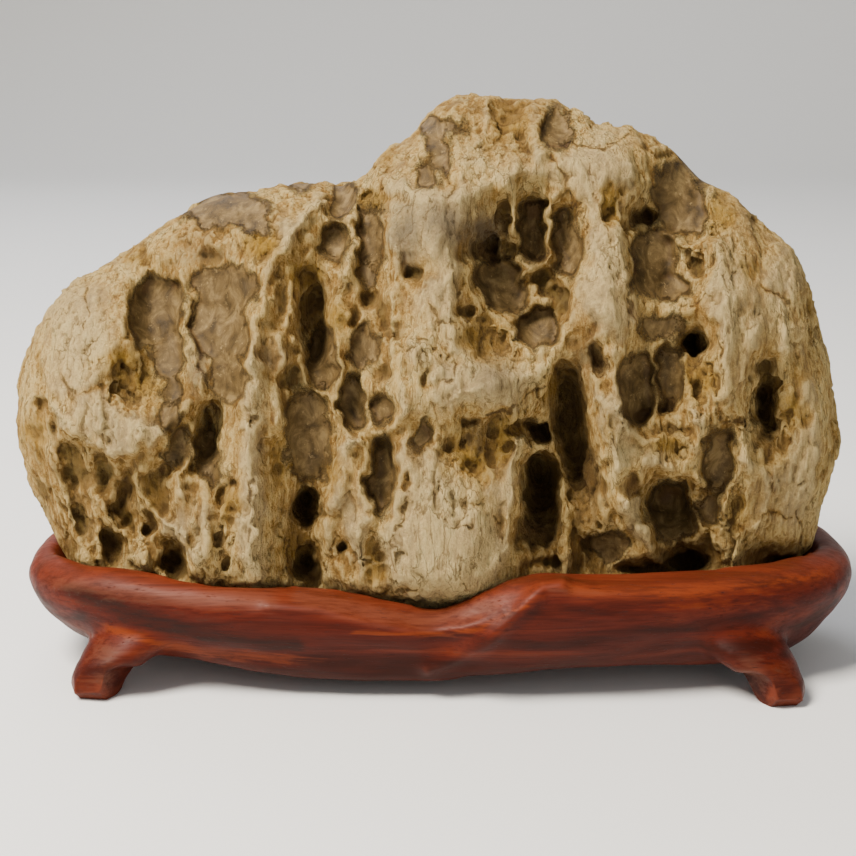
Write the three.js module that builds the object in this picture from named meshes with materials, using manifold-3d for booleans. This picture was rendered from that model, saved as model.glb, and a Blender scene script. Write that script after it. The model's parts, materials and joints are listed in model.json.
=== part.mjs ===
// A scholar's rock on its carved hardwood stand. Millimetres, +Z up, the front of the rock faces -Y.
// The origin is on the surface that the feet stand on, under the middle of the object.
import * as THREE from "three";
import { mergeVertices } from "three/addons/utils/BufferGeometryUtils.js";
import Module from "manifold-3d";

const wasm = await Module();
wasm.setup();

// ---- Driving dimensions -------------------------------------------------------------------------

const ROCK_DETAIL = 13; // subdivisions of the icosahedron that becomes the rock
const SOCKET_DETAIL = 10; // subdivisions of the copy of the rock that carves the socket
const HOLE_DETAIL = 2;
const ROCK_CENTRE_Z = 100; // height of the point that the outline is measured round
const ROCK_HALF_DEPTH = 50; // from the middle plane to the face, before the masses
const ROCK_SQUARENESS = 2.6; // exponent of the section from face to edge: 2 is an ellipse

const STAND_HALF_LENGTH = 153;
const STAND_HALF_DEPTH = 60;
const STAND_MIDDLE_X = 4.5;
const STAND_SQUARENESS = 2.9; // exponent of the stand's plan: 2 is an ellipse
const STAND_SEGMENTS = 68;
const RIM_HEIGHT = 44;
const FOOT_SEGMENTS = 16;

const SOCKET_GAP_SIDE = 2; // clearance between rock and socket wall
const SOCKET_GAP_UNDER = 1.2; // shrinks to a hair where the coarser socket floor is closest

// ---- Form of the rock ---------------------------------------------------------------------------

// Front outline of the rock in the middle plane, anticlockwise from the lower right, as [x, z].
const ROCK_OUTLINE = [
  [134, 31], [142, 40], [145, 52], [145, 61], [149.5, 69], [150.5, 79], [148.5, 95], [144.5, 112],
  [140, 126], [135.5, 141], [129, 153], [118, 160.5], [108, 171], [98.5, 173.5], [92, 180],
  [83, 189], [73, 194.5], [61, 195], [53, 200], [43, 204], [29, 203.5], [14, 206],
  [5.5, 203.5], [-2, 196], [-4, 191], [-14.5, 186.5], [-21, 180], [-26, 174.5], [-39, 175],
  [-50, 174.5], [-60, 171.5], [-74.5, 171], [-86.5, 164.5], [-99, 156], [-118.5, 144],
  [-128, 139.5], [-135.5, 132], [-141.5, 121], [-146, 113], [-149, 103.5], [-150.5, 91],
  [-149.5, 78], [-146, 63], [-141, 53], [-137.5, 42], [-129, 31], [-110, 24], [-60, 18.5],
  [0, 15.5], [60, 19.5], [110, 24],
];

// How much of the half depth is left at each height, so that the rock narrows to its crest.
const DEPTH_BY_HEIGHT = [[20, 0.95], [45, 0.98], [80, 1.02], [120, 0.99], [160, 0.88], [210, 0.66]];

// Masses that stand proud of a face, and saddles that lie back from it:
// [x, z, reach along x, reach along z, height].
const FRONT_MASSES = [
  [6, 170, 22, 24, 8], // the brow of the dome
  [4, 42, 28, 34, 13], // the foot of the middle mass
  [-8, 116, 15, 30, 6], // the middle mass
  [-30, 160, 9, 18, -5], // the saddle between the dome and the left shoulder
  [-56, 124, 9, 38, 6], // the pillar left of the long groove
  [-39, 108, 9, 46, -10], // the long groove
  [-92, 132, 11, 19, -9], // the groove in the left boulder
  [-118, 96, 18, 44, 4], // the left boulder
  [-104, 58, 8, 24, -4], // flutes along its foot
  [-87, 62, 7, 26, 4],
  [-68, 58, 9, 26, 5],
  [-70, 40, 28, 18, 9],
  [-124, 58, 7, 24, 2],
  [34, 154, 18, 19, -11], // the clustered hollows under the brow
  [80, 156, 12, 21, -10], // the large hollow of the right shoulder
  [60, 126, 8, 28, 5], // the pillar right of the tall cleft
  [48, 90, 10, 30, -9], // the side of the tall cleft
  [78, 108, 11, 17, -6], // the cells under the large hollow
  [103, 128, 11, 44, 5], // the right boulder
  [104, 60, 7, 22, 4],
  [84, 66, 17, 15, -8], // the cave under the right boulder
  [-143, 68, 14, 24, -6], // the undercut left end
];
const BACK_MASSES = [
  [-80, 90, 40, 46, 4],
  [-120, 80, 16, 40, -4],
  [30, 136, 46, 44, 6],
  [104, 76, 36, 40, 3],
  [-24, 120, 13, 60, -9],
  [68, 100, 12, 50, -8],
  [-2, 52, 34, 22, -5],
];

// Deep natural holes: [x, y, z of the mouth, half width, half height, depth, lean in degrees].
const HOLES = [
  [38.5, -46, 74, 7.5, 14.5, 30, 0], // the doorway
  [34, -47, 96, 6.2, 3.4, 14, 20], // the slot over it
  [48, -44, 98, 6, 24, 20, -6], // the tall cleft beside it
  [-39.5, -40, 134, 5.5, 20, 16, -4], // the slot at the head of the long groove
  [-42, -41, 67, 5.2, 8, 18, 0], // the window at its foot
  [24, -44, 160, 7, 9, 13, -24], // the dark head of the clustered hollows
  [71, -42, 167, 6, 5, 13, 0], // the dark head of the large hollow
  [90, -46, 125, 4.8, 5.6, 16, 0], // the eye of the right boulder
  [115, -43, 102, 4, 11.5, 18, 5], // the slit at the right end
  [82, -42, 67, 12, 10, 13, 12], // the cave under the right boulder
  [91, -44, 46, 11, 6, 16, 0], // the arches along the foot
  [121, -40, 45, 9, 6, 15, 0],
  [-107, -43, 51, 7, 6, 12, 0],
  [-90, -44, 50, 6, 7, 12, -14],
  [-43, -45, 48, 5, 7, 13, 8],
  [-75, -45, 95, 5, 13, 11, 12], // the pocket of the left boulder
  [34, 50, 124, 9, 18, 18, -8], // and the hollows of the back
  [-62, 48, 84, 11, 15, 15, 10],
  [94, 45, 78, 8, 13, 14, 0],
];

// ---- Form of the stand --------------------------------------------------------------------------

// Section of the stand from under its middle, round the wall and over the rim: [share of the plan, z].
const STAND_SECTION = [
  [0, 10], [0.5, 9.5], [0.82, 7.8], [0.872, 8.2], [0.905, 11], [0.935, 16], [0.972, 23.5],
  [0.996, 30], [0.998, 34.5], [0.975, 39], [0.93, 42.2], [0.86, RIM_HEIGHT], [0, RIM_HEIGHT],
];

// Height of the rim along the front and the back, as [x, z].
const FRONT_RIM = [
  [-152, 44], [-120, 44.2], [-96, 43], [-62, 39.4], [-44, 37.6], [-27, 35.2], [-10, 33.2],
  [3, 32.5], [14, 33.4], [21.5, 37], [28.5, 42.8], [37, 45], [60, 43], [94, 43.5], [120, 45], [158, 45],
];
const BACK_RIM = [[-152, 44], [-100, 46], [-40, 42], [10, 44], [70, 41.5], [115, 45], [158, 45]];

// How far the lower edge of the wall lies above the section's, as [x, rise].
const LOWER_EDGE = [[-152, 2], [-90, 3], [-45, -1.5], [0, -2.5], [40, 2.5], [75, 3], [110, 0], [158, 1]];

// The fold where the higher right half of the front wall laps over the left half.
const FOLD = { topX: 40, bottomX: 8, width: 8, proud: 3.2, fadeX: 130 };

// Feet: [sole x, sole y]. Each one grows out of a corner of the wall.
const FEET = [[-117, -49], [123, -55], [121, 52], [-116, 50]];

// Rings of a foot: [height, radius, how far the ring lies outward from the sole's middle].
const FOOT_RINGS = [
  [0, 0, 0], [0, 7.6, 0], [0.8, 9, 0.2], [3.5, 9.8, -0.2], [7, 10.4, -2], [10.5, 12.2, -6],
  [14.5, 15, -12], [19, 17, -18.5], [24, 15, -24], [27, 0, -28],
];

// ---- Small tools --------------------------------------------------------------------------------

const clamp01 = (t) => THREE.MathUtils.clamp(t, 0, 1);
const power = (v, p) => Math.sign(v) * Math.abs(v) ** p;
const { smoothstep } = THREE.MathUtils;

// A smooth line through [x, value] points, as a function of x.
function lineThrough(points) {
  const line = new THREE.CubicInterpolant(
    points.map(([x]) => x),
    points.map(([, value]) => value),
    1,
  );
  return (x) => line.evaluate(x)[0];
}

// The sum at x, z of soft round masses.
function massAt(masses, x, z) {
  return masses.reduce((sum, [mx, mz, reachX, reachZ, height]) => {
    const d2 = ((x - mx) / reachX) ** 2 + ((z - mz) / reachZ) ** 2;
    return sum + height * Math.exp(-d2);
  }, 0);
}

// The same surface with one vertex at each corner, and no attribute but position.
function welded(geometry) {
  geometry.deleteAttribute("normal");
  geometry.deleteAttribute("uv");
  return mergeVertices(geometry, 1e-3);
}

function unitBall(detail) {
  return welded(new THREE.IcosahedronGeometry(1, detail));
}

// Moves each vertex of a geometry by a function of its position.
function reshape(geometry, move) {
  const position = geometry.attributes.position;
  const p = new THREE.Vector3();
  for (let i = 0; i < position.count; i++) {
    move(p.fromBufferAttribute(position, i));
    position.setXYZ(i, p.x, p.y, p.z);
  }
  return geometry;
}

// A turned solid standing on z = 0, from [radius, z] points.
function turnedBody(profile, segments) {
  const points = profile.map(([radius, z]) => new THREE.Vector2(radius, z));
  const turned = new THREE.LatheGeometry(points, segments);
  turned.rotateX(Math.PI / 2); // the lathe turns round +Y
  return welded(turned);
}

// A closed three.js geometry as a manifold-3d solid.
function solidOf(geometry) {
  const corners = geometry.index.array;
  const kept = [];
  for (let i = 0; i < corners.length; i += 3) {
    const [a, b, c] = corners.subarray(i, i + 3);
    if (a !== b && b !== c && c !== a) kept.push(a, b, c);
  }
  return new wasm.Manifold(
    new wasm.Mesh({
      numProp: 3,
      vertProperties: new Float32Array(geometry.attributes.position.array),
      triVerts: new Uint32Array(kept),
    }),
  );
}

// A manifold-3d solid as a named three.js mesh.
function meshOf(solid, name, material) {
  const { vertProperties, triVerts } = solid.getMesh();
  const geometry = new THREE.BufferGeometry();
  geometry.setAttribute("position", new THREE.BufferAttribute(vertProperties, 3));
  geometry.setIndex(new THREE.BufferAttribute(triVerts, 1));
  geometry.computeVertexNormals();
  const mesh = new THREE.Mesh(geometry, material);
  mesh.name = name;
  return mesh;
}

// ---- The rock -----------------------------------------------------------------------------------

// The rock's section from the middle of a face (0, 1) to the outline (1, 0).
class FaceToEdge extends THREE.Curve {
  getPoint(t, target = new THREE.Vector2()) {
    const turn = (t * Math.PI) / 2;
    const out = power(Math.sin(turn), 2 / ROCK_SQUARENESS);
    return target.set(out, power(Math.cos(turn), 2 / ROCK_SQUARENESS));
  }
}

// Distance from the rock's centre to its outline, as a function of the direction.
function outlineReach() {
  const curve = new THREE.CatmullRomCurve3(
    ROCK_OUTLINE.map(([x, z]) => new THREE.Vector3(x, z - ROCK_CENTRE_Z, 0)),
    true,
    "centripetal",
  );
  const samples = curve
    .getPoints(ROCK_OUTLINE.length * 6)
    .slice(1)
    .map((p) => [Math.atan2(p.y, p.x), Math.hypot(p.x, p.y)])
    .sort((a, b) => a[0] - b[0]);
  const [first, last] = [samples[0], samples[samples.length - 1]];
  const turn = 2 * Math.PI;
  const whole = [[last[0] - turn, last[1]], ...samples, [first[0] + turn, first[1]]];
  const line = new THREE.LinearInterpolant(
    whole.map(([angle]) => angle),
    whole.map(([, radius]) => radius),
    1,
  );
  return (angle) => line.evaluate(angle)[0];
}

const reach = outlineReach();
const depthShare = lineThrough(DEPTH_BY_HEIGHT);
const faceToEdge = new FaceToEdge();

// Carries a point of the unit ball to the rock's surface, grown by the given clearances.
function toRock(p, sideGap, underGap) {
  const fromFace = Math.acos(clamp01(Math.abs(p.y))) / (Math.PI / 2);
  const angle = Math.atan2(p.z, p.x);
  const section = faceToEdge.getPointAt(clamp01(fromFace));
  const x = (reach(angle) + sideGap) * section.x * Math.cos(angle);
  const z = ROCK_CENTRE_Z + reach(angle) * section.x * Math.sin(angle);
  const mass = massAt(p.y < 0 ? FRONT_MASSES : BACK_MASSES, x, z);
  const depth = ROCK_HALF_DEPTH * depthShare(z) + mass + sideGap;
  const below = z < ROCK_CENTRE_Z ? underGap * section.x : 0;
  return p.set(x, Math.sign(p.y) * section.y * depth, z - below);
}

function rockBody(detail, sideGap = 0, underGap = 0) {
  return solidOf(reshape(unitBall(detail), (p) => toRock(p, sideGap, underGap)));
}

// A smooth cutter for one hole. It points into the rock from the mouth.
function holeCutter([x, y, z, halfWidth, halfHeight, depth, lean]) {
  const ball = unitBall(HOLE_DETAIL);
  ball.scale(halfWidth, depth, halfHeight);
  ball.rotateY(THREE.MathUtils.degToRad(lean));
  ball.translate(x, y, z);
  return solidOf(ball);
}

function rockSolid() {
  return HOLES.reduce((rock, hole) => rock.subtract(holeCutter(hole)), rockBody(ROCK_DETAIL));
}

// ---- The stand ----------------------------------------------------------------------------------

const frontRim = lineThrough(FRONT_RIM);
const backRim = lineThrough(BACK_RIM);
const lowerEdge = lineThrough(LOWER_EDGE);

// How far the front wall stands proud at x, z because of the fold.
function foldAt(x, z) {
  const edge = THREE.MathUtils.mapLinear(z, 8, RIM_HEIGHT, FOLD.bottomX, FOLD.topX);
  const rise = smoothstep(x, edge - FOLD.width, edge + FOLD.width);
  return FOLD.proud * rise * (1 - smoothstep(x, edge + FOLD.width, FOLD.fadeX));
}

// Carries a point of the turned section (share of the plan, z) to the stand's surface.
function toStand(p) {
  const share = Math.hypot(p.x, p.y);
  const [c, s] = share > 0 ? [p.x / share, p.y / share] : [1, 0];
  const x = STAND_MIDDLE_X + STAND_HALF_LENGTH * share * power(c, 2 / STAND_SQUARENESS);
  const wall = STAND_HALF_DEPTH * share * power(s, 2 / STAND_SQUARENESS);
  const front = clamp01(-1.5 * s);
  const rim = THREE.MathUtils.lerp(backRim(x), frontRim(x), clamp01(0.5 - 2 * s)) - RIM_HEIGHT;
  const lower = lowerEdge(x) * (1 - smoothstep(p.z, 11, 26));
  const fold = foldAt(x, p.z) * front * smoothstep(share, 0.6, 0.9);
  return p.set(x, wall - fold, p.z + rim * smoothstep(p.z, 16, 40) + lower);
}

function standBlock() {
  return solidOf(reshape(turnedBody(STAND_SECTION, STAND_SEGMENTS), toStand));
}

function foot([soleX, soleY]) {
  const rings = FOOT_RINGS.map(([z, radius]) => [radius, z]);
  const outward = lineThrough(FOOT_RINGS.slice(1).map(([z, , out]) => [z, out]));
  const towards = new THREE.Vector2(soleX - STAND_MIDDLE_X, soleY * 1.7).normalize();
  return solidOf(
    reshape(turnedBody(rings, FOOT_SEGMENTS), (p) => {
      const out = outward(p.z);
      return p.set(soleX + p.x + towards.x * out, soleY + p.y + towards.y * out, p.z);
    }),
  );
}

function standSolid() {
  const carved = FEET.map(foot).reduce((stand, f) => stand.add(f), standBlock());
  return carved.subtract(rockBody(SOCKET_DETAIL, SOCKET_GAP_SIDE, SOCKET_GAP_UNDER));
}

// ---- Assembly -----------------------------------------------------------------------------------

const stone = new THREE.MeshStandardMaterial({ color: 0xb3a27c, roughness: 0.72, metalness: 0 });
const rosewood = new THREE.MeshStandardMaterial({ color: 0x6d2c1e, roughness: 0.42, metalness: 0 });

const object = new THREE.Group();
object.add(meshOf(rockSolid(), "rock", stone));
object.add(meshOf(standSolid(), "stand", rosewood));

// The origin goes under the middle of the whole object.
const box = new THREE.Box3().setFromObject(object);
const middle = box.getCenter(new THREE.Vector3());
object.position.set(-middle.x, -middle.y, -box.min.z);

export default object;
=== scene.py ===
"""A scholar's rock seated on its carved rosewood stand.

The stone is a weathered block of silicified rock: a cream crust, worn into pillars and webs, round
hollows whose floors are waxy grey-brown chalcedony. The stand is carved from one block.

Sizes in this file are millimetres, and meshes are metres. The hollows of the front are placed on an
elevation drawing: the front of the stone as it falls on an upright plane through its middle, seen
from the eye point.
"""

from __future__ import annotations

import json
import logging
import math
import random
from dataclasses import dataclass, field
from enum import Enum
from typing import Any, Iterable

import bmesh
import bpy
import numpy as np
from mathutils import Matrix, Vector, noise

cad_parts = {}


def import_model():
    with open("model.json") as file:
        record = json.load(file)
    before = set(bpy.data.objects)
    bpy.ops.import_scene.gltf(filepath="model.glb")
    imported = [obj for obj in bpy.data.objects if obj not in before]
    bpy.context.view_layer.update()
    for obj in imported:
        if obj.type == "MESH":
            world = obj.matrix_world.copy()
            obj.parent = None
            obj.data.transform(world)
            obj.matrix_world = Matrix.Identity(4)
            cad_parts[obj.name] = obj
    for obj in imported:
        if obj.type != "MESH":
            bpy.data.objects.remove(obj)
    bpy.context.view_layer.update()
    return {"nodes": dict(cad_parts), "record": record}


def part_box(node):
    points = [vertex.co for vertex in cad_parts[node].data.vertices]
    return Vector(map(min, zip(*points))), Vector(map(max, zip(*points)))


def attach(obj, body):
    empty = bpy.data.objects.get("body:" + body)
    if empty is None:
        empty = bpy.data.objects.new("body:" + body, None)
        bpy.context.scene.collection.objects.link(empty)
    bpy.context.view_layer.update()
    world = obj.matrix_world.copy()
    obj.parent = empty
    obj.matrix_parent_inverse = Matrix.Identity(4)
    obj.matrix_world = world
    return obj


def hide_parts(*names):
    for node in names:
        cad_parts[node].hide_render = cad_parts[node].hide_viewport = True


LOG = logging.getLogger("scholars_rock")
MM = 0.001
SPREAD = 8.0  # how far past a hollow's edge its worn slope is felt, in millimetres
OUTSIDE = -6.0  # signed distance that says a vertex is nowhere near the chalcedony


# ---- Colours and node trees ---------------------------------------------------------------------


def linear(code: str) -> tuple[float, float, float, float]:
    """Turns an sRGB hex colour into the linear colour that sockets take.

    Args:
        code: Six hex digits, with or without a hash sign.

    Returns:
        Linear red, green, blue and an alpha of 1.
    """
    digits = code.lstrip("#")
    parts = [int(digits[k : k + 2], 16) / 255 for k in (0, 2, 4)]
    out = [c / 12.92 if c <= 0.04045 else ((c + 0.055) / 1.055) ** 2.4 for c in parts]
    return (out[0], out[1], out[2], 1.0)


class Recipe:
    """A material's node tree, written one node at a time."""

    def __init__(self, name: str) -> None:
        """Starts an empty material.

        Args:
            name: The material's name.
        """
        self.material = bpy.data.materials.new(name)
        self.material.use_nodes = True
        self.tree = self.material.node_tree
        self.tree.nodes.clear()

    def add(
        self,
        kind: str,
        inputs: dict[int | str, Any] | None = None,
        out: int | str = 0,
        **settings: Any,
    ) -> bpy.types.NodeSocket:
        """Adds a shader node with its settings and links.

        Args:
            kind: The node's type, without the ShaderNode in front.
            inputs: A constant or an output socket for each input socket.
            out: Which output to give back.
            **settings: The node's own properties; stops fills a colour ramp.

        Returns:
            The chosen output socket.
        """
        node = self.tree.nodes.new("ShaderNode" + kind)
        stops = settings.pop("stops", None)
        for key, value in settings.items():
            setattr(node, key, value)
        if stops:
            ramp = node.color_ramp
            while len(ramp.elements) < len(stops):
                ramp.elements.new(1.0)
            for element, (place, code) in zip(ramp.elements, stops):
                element.position = place
                element.color = linear(code)
        for key, value in (inputs or {}).items():
            if isinstance(value, bpy.types.NodeSocket):
                self.tree.links.new(value, node.inputs[key])
            else:
                node.inputs[key].default_value = value
        return node.outputs[out] if len(node.outputs) else None

    def fields(self, *names: str) -> dict[str, bpy.types.NodeSocket]:
        """The values kept on the mesh under these names."""
        return {name: self.add("Attribute", out="Fac", attribute_name=name) for name in names}

    def step(self, value: Any, low: float, high: float, to: float = 1.0) -> bpy.types.NodeSocket:
        """A smooth step of a value, from 0 at low to `to` at high."""
        return self.add(
            "MapRange", {0: value, 1: low, 2: high, 3: 0.0, 4: to}, interpolation_type="SMOOTHSTEP"
        )

    def mix(self, share: Any, under: Any, over: Any, blend: str = "MIX") -> bpy.types.NodeSocket:
        """One colour laid over another, by share; the upper one may be a hex code."""
        top = linear(over) if isinstance(over, str) else over
        return self.add(
            "Mix", {0: share, 6: under, 7: top}, out=2, data_type="RGBA", blend_type=blend
        )

    def sum(self, one: Any, other: Any, how: str = "ADD") -> bpy.types.NodeSocket:
        """Two numbers combined by a sum, a product or another operation."""
        return self.add("Math", {0: one, 1: other}, operation=how)

    def grain(self, stretch: tuple[float, float, float], scale: float, detail: float = 4.0,
              rough: float = 0.55, twist: float = 0.0) -> bpy.types.NodeSocket:
        """Noise in the object's own millimetres.

        Args:
            stretch: Factor on each axis; below 1 draws the pattern out along that axis.
            scale: Waves for each millimetre.
            detail: Octaves.
            rough: Share of each finer octave.
            twist: Distortion.

        Returns:
            The noise's value, 0 to 1.
        """
        place = self.add("TexCoord", out="Object")
        turned = self.add("Mapping", {"Vector": place, "Scale": tuple(s * 1000 for s in stretch)})
        return self.add("TexNoise", {
            "Vector": turned, "Scale": scale, "Detail": detail, "Roughness": rough,
            "Distortion": twist})


# ---- Mesh tools ---------------------------------------------------------------------------------


def points_of(mesh: bpy.types.Mesh) -> np.ndarray:
    """The mesh's vertices in millimetres, one row each."""
    flat = np.empty(len(mesh.vertices) * 3, dtype=np.float32)
    mesh.vertices.foreach_get("co", flat)
    return flat.reshape(-1, 3).astype(np.float64) / MM


def put_points(mesh: bpy.types.Mesh, points: np.ndarray) -> None:
    """Moves the mesh's vertices to these places, in millimetres."""
    mesh.vertices.foreach_set("co", (points * MM).astype(np.float32).ravel())
    mesh.update()


def normals_of(mesh: bpy.types.Mesh) -> np.ndarray:
    """The mesh's vertex normals, one row each."""
    flat = np.empty(len(mesh.vertices) * 3, dtype=np.float32)
    mesh.vertices.foreach_get("normal", flat)
    return flat.reshape(-1, 3).astype(np.float64)


def smooth_step(low: float, high: float, value: np.ndarray) -> np.ndarray:
    """0 where value is at low, 1 at high, and smooth between."""
    t = np.clip((value - low) / (high - low), 0.0, 1.0)
    return t * t * (3.0 - 2.0 * t)


def waves(points: np.ndarray, size: Iterable[float], seed: float, octaves: int = 2) -> np.ndarray:
    """Smooth noise at each point.

    Args:
        points: Places in millimetres.
        size: Wavelength in millimetres along each axis.
        seed: Offset that picks one field of many.
        octaves: How many layers, each half the size of the last.

    Returns:
        Values of about -1 to 1.
    """
    scaled = points / np.array(list(size)) + seed
    return np.array([noise.fractal(Vector(p), 0.9, 2.0, octaves) for p in scaled.tolist()])


def plates(points: np.ndarray, size: Iterable[float], seed: float) -> tuple[np.ndarray, np.ndarray]:
    """Splits a surface into cracked plates.

    Args:
        points: Places in millimetres.
        size: Size of the plates along each axis, in millimetres.
        seed: Offset that picks one pattern of many.

    Returns:
        Each point's distance from a crack, as a share of a plate, and its plate's own height,
        0 to 1.
    """
    scaled = points / np.array(list(size)) + seed
    gap, level = np.empty(len(points)), np.empty(len(points))
    for k, place in enumerate(scaled.tolist()):
        reach, middles = noise.voronoi(Vector(place))
        gap[k] = reach[1] - reach[0]
        level[k] = noise.cell(middles[0] * 7.3)
    return gap, level


def cell_depth(points: np.ndarray, size: Iterable[float]) -> np.ndarray:
    """Small rounded pits packed side by side.

    Args:
        points: Places in millimetres.
        size: Spacing of the pits along each axis, in millimetres.

    Returns:
        0 on the webs between the pits and 1 at their bottoms.
    """
    scaled = points / np.array(list(size))
    nearest = np.array([noise.voronoi(Vector(p))[0][:2] for p in scaled.tolist()])
    web = nearest[:, 1] - nearest[:, 0]
    return smooth_step(0.04, 0.42, web) * smooth_step(0.75, 0.1, nearest[:, 0])


def stirred(
    points: np.ndarray, size: Iterable[float], seeds: Iterable[float], amount: float
) -> np.ndarray:
    """Points moved about by smooth noise, so that a pattern laid on them isn't regular.

    Args:
        points: Places in millimetres.
        size: Wavelength in millimetres along each axis.
        seeds: One for each direction of the move.
        amount: Most of the move, in millimetres.

    Returns:
        The moved places.
    """
    return points + np.stack([waves(points, size, seed, 2) for seed in seeds], 1) * amount


def oval(shape: Hollow | Patch, u: np.ndarray, v: np.ndarray) -> tuple[np.ndarray, np.ndarray]:
    """Places across and up a leaning oval, as shares of its half width and half height."""
    turn = math.radians(shape.lean)
    du, dv = u - shape.u, v - shape.v
    across = (du * math.cos(turn) - dv * math.sin(turn)) / shape.half_u
    up = (du * math.sin(turn) + dv * math.cos(turn)) / shape.half_v
    return across, up


class Relaxer:
    """Averages a mesh's vertices, or values on them, with their neighbours."""

    def __init__(self, mesh: bpy.types.Mesh) -> None:
        """Reads the edges of the mesh."""
        flat = np.empty(len(mesh.edges) * 2, dtype=np.int32)
        mesh.edges.foreach_get("vertices", flat)
        pairs = flat.reshape(-1, 2)
        self.ends = np.concatenate([pairs[:, 0], pairs[:, 1]])
        self.others = np.concatenate([pairs[:, 1], pairs[:, 0]])
        self.count = len(mesh.vertices)
        self.degree = np.maximum(np.bincount(self.ends, minlength=self.count), 1)

    def relax(self, values: np.ndarray, rounds: int, strength: Any = 0.5) -> np.ndarray:
        """Moves values towards their neighbours' mean.

        Args:
            values: One row for each vertex.
            rounds: How many times.
            strength: Share of the way moved each time, one number or one per vertex.

        Returns:
            The averaged values.
        """
        out = values.reshape(self.count, -1).copy()
        share = np.asarray(strength).reshape(-1, 1) if np.ndim(strength) else strength
        for _ in range(rounds):
            mean = np.stack([
                np.bincount(self.ends, weights=column[self.others], minlength=self.count)
                for column in out.T
            ], axis=1) / self.degree[:, None]
            out += share * (mean - out)
        return out.reshape(values.shape)


def sunk_by(mesh: bpy.types.Mesh, rounds: int) -> np.ndarray:
    """How far each vertex lies under its smoothed surroundings, in millimetres.

    Args:
        mesh: The mesh.
        rounds: How often to smooth; more of them take in a wider neighbourhood.

    Returns:
        Depths, below 0 where the vertex stands proud.
    """
    points = points_of(mesh)
    return ((Relaxer(mesh).relax(points, rounds) - points) * normals_of(mesh)).sum(1)


def merged_copy(node: bpy.types.Object, name: str) -> bpy.types.Object:
    """A copy of a CAD node with its loose triangles joined.

    Args:
        node: The CAD node, which is left alone.
        name: The copy's name.

    Returns:
        The new object, at the origin.
    """
    mesh = node.data.copy()
    mesh.name = name
    mesh.materials.clear()
    shape = bmesh.new()
    shape.from_mesh(mesh)
    bmesh.ops.remove_doubles(shape, verts=shape.verts, dist=0.01 * MM)
    shape.to_mesh(mesh)
    shape.free()
    piece = bpy.data.objects.new(name, mesh)
    bpy.context.scene.collection.objects.link(piece)
    return piece


def bake_modifier(piece: bpy.types.Object, kind: str, **settings: Any) -> None:
    """Adds one modifier and makes its result the piece's own mesh.

    Args:
        piece: The piece.
        kind: The modifier's type.
        **settings: The modifier's properties.
    """
    modifier = piece.modifiers.new(kind.lower(), kind)
    for key, value in settings.items():
        setattr(modifier, key, value)
    graph = bpy.context.evaluated_depsgraph_get()
    result = bpy.data.meshes.new_from_object(piece.evaluated_get(graph))
    piece.modifiers.clear()
    old = piece.data
    piece.data = result
    result.name = piece.name
    bpy.data.meshes.remove(old)


def remesh(piece: bpy.types.Object, size: float) -> None:
    """Rebuilds the piece's surface from even quads of a size in millimetres."""
    bake_modifier(piece, "REMESH", mode="VOXEL", voxel_size=size * MM, use_smooth_shade=True)


def thin_out(piece: bpy.types.Object, triangles: int, weight: np.ndarray | None = None) -> None:
    """Brings a piece under a number of triangles.

    Args:
        piece: The piece.
        triangles: The most triangles it may keep.
        weight: How readily each vertex goes, 0 to 1.
    """
    faces = sum(len(p.vertices) - 2 for p in piece.data.polygons)
    if faces <= triangles:
        return
    settings: dict[str, Any] = {"ratio": triangles / faces, "use_collapse_triangulate": True}
    if weight is not None:
        group = piece.vertex_groups.new(name="thin")
        levels = np.round(weight * 20).astype(int)
        for level in range(1, 21):
            members = np.nonzero(levels == level)[0].tolist()
            if members:
                group.add(members, level / 20, "REPLACE")
        settings |= {"vertex_group": "thin", "vertex_group_factor": 1.0}
    bake_modifier(piece, "DECIMATE", **settings)
    piece.vertex_groups.clear()


def store(mesh: bpy.types.Mesh, name: str, values: np.ndarray) -> None:
    """Keeps one number for each vertex under a name that the materials read."""
    layer = mesh.attributes.new(name, "FLOAT", "POINT")
    layer.data.foreach_set("value", values.astype(np.float32))


# ---- The elevation drawing ----------------------------------------------------------------------


@dataclass(frozen=True)
class Elevation:
    """The front of the object as it falls on an upright plane through its middle.

    Attributes:
        eye: The eye point, in millimetres.
        plane: The plane's place along Y.
        tilt: How far the view looks down, in degrees.
        lens: Focal length for a 36 mm frame.
    """

    eye: tuple[float, float, float] = (-3.4, -608.5, 243.0)
    plane: float = 1.5
    tilt: float = 14.6
    lens: float = 72.0

    def draw(self, points: np.ndarray) -> tuple[np.ndarray, np.ndarray]:
        """Where points fall on the drawing.

        Args:
            points: Places in millimetres.

        Returns:
            Distance right of the middle and height above the table, both on the drawing.
        """
        scale = (self.plane - self.eye[1]) / (points[:, 1] - self.eye[1])
        across = (points[:, 0] - self.eye[0]) * scale
        height = self.eye[2] + (points[:, 2] - self.eye[2]) * scale
        return across, height

    def rays(self, points: np.ndarray) -> np.ndarray:
        """Unit directions from the eye through points."""
        lines = points - np.array(self.eye)
        return lines / np.linalg.norm(lines, axis=1, keepdims=True)


# ---- Hollows ------------------------------------------------------------------------------------


class Lining(Enum):
    """What a hollow's floor is made of."""

    CHALCEDONY = "chalcedony"
    # A dark floor: dirt, and painted shade that grows with the hollow's depth.
    DARK = "dark"
    OCHRE = "ochre"
    OLIVE = "olive"
    CRUST = "crust"


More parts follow.
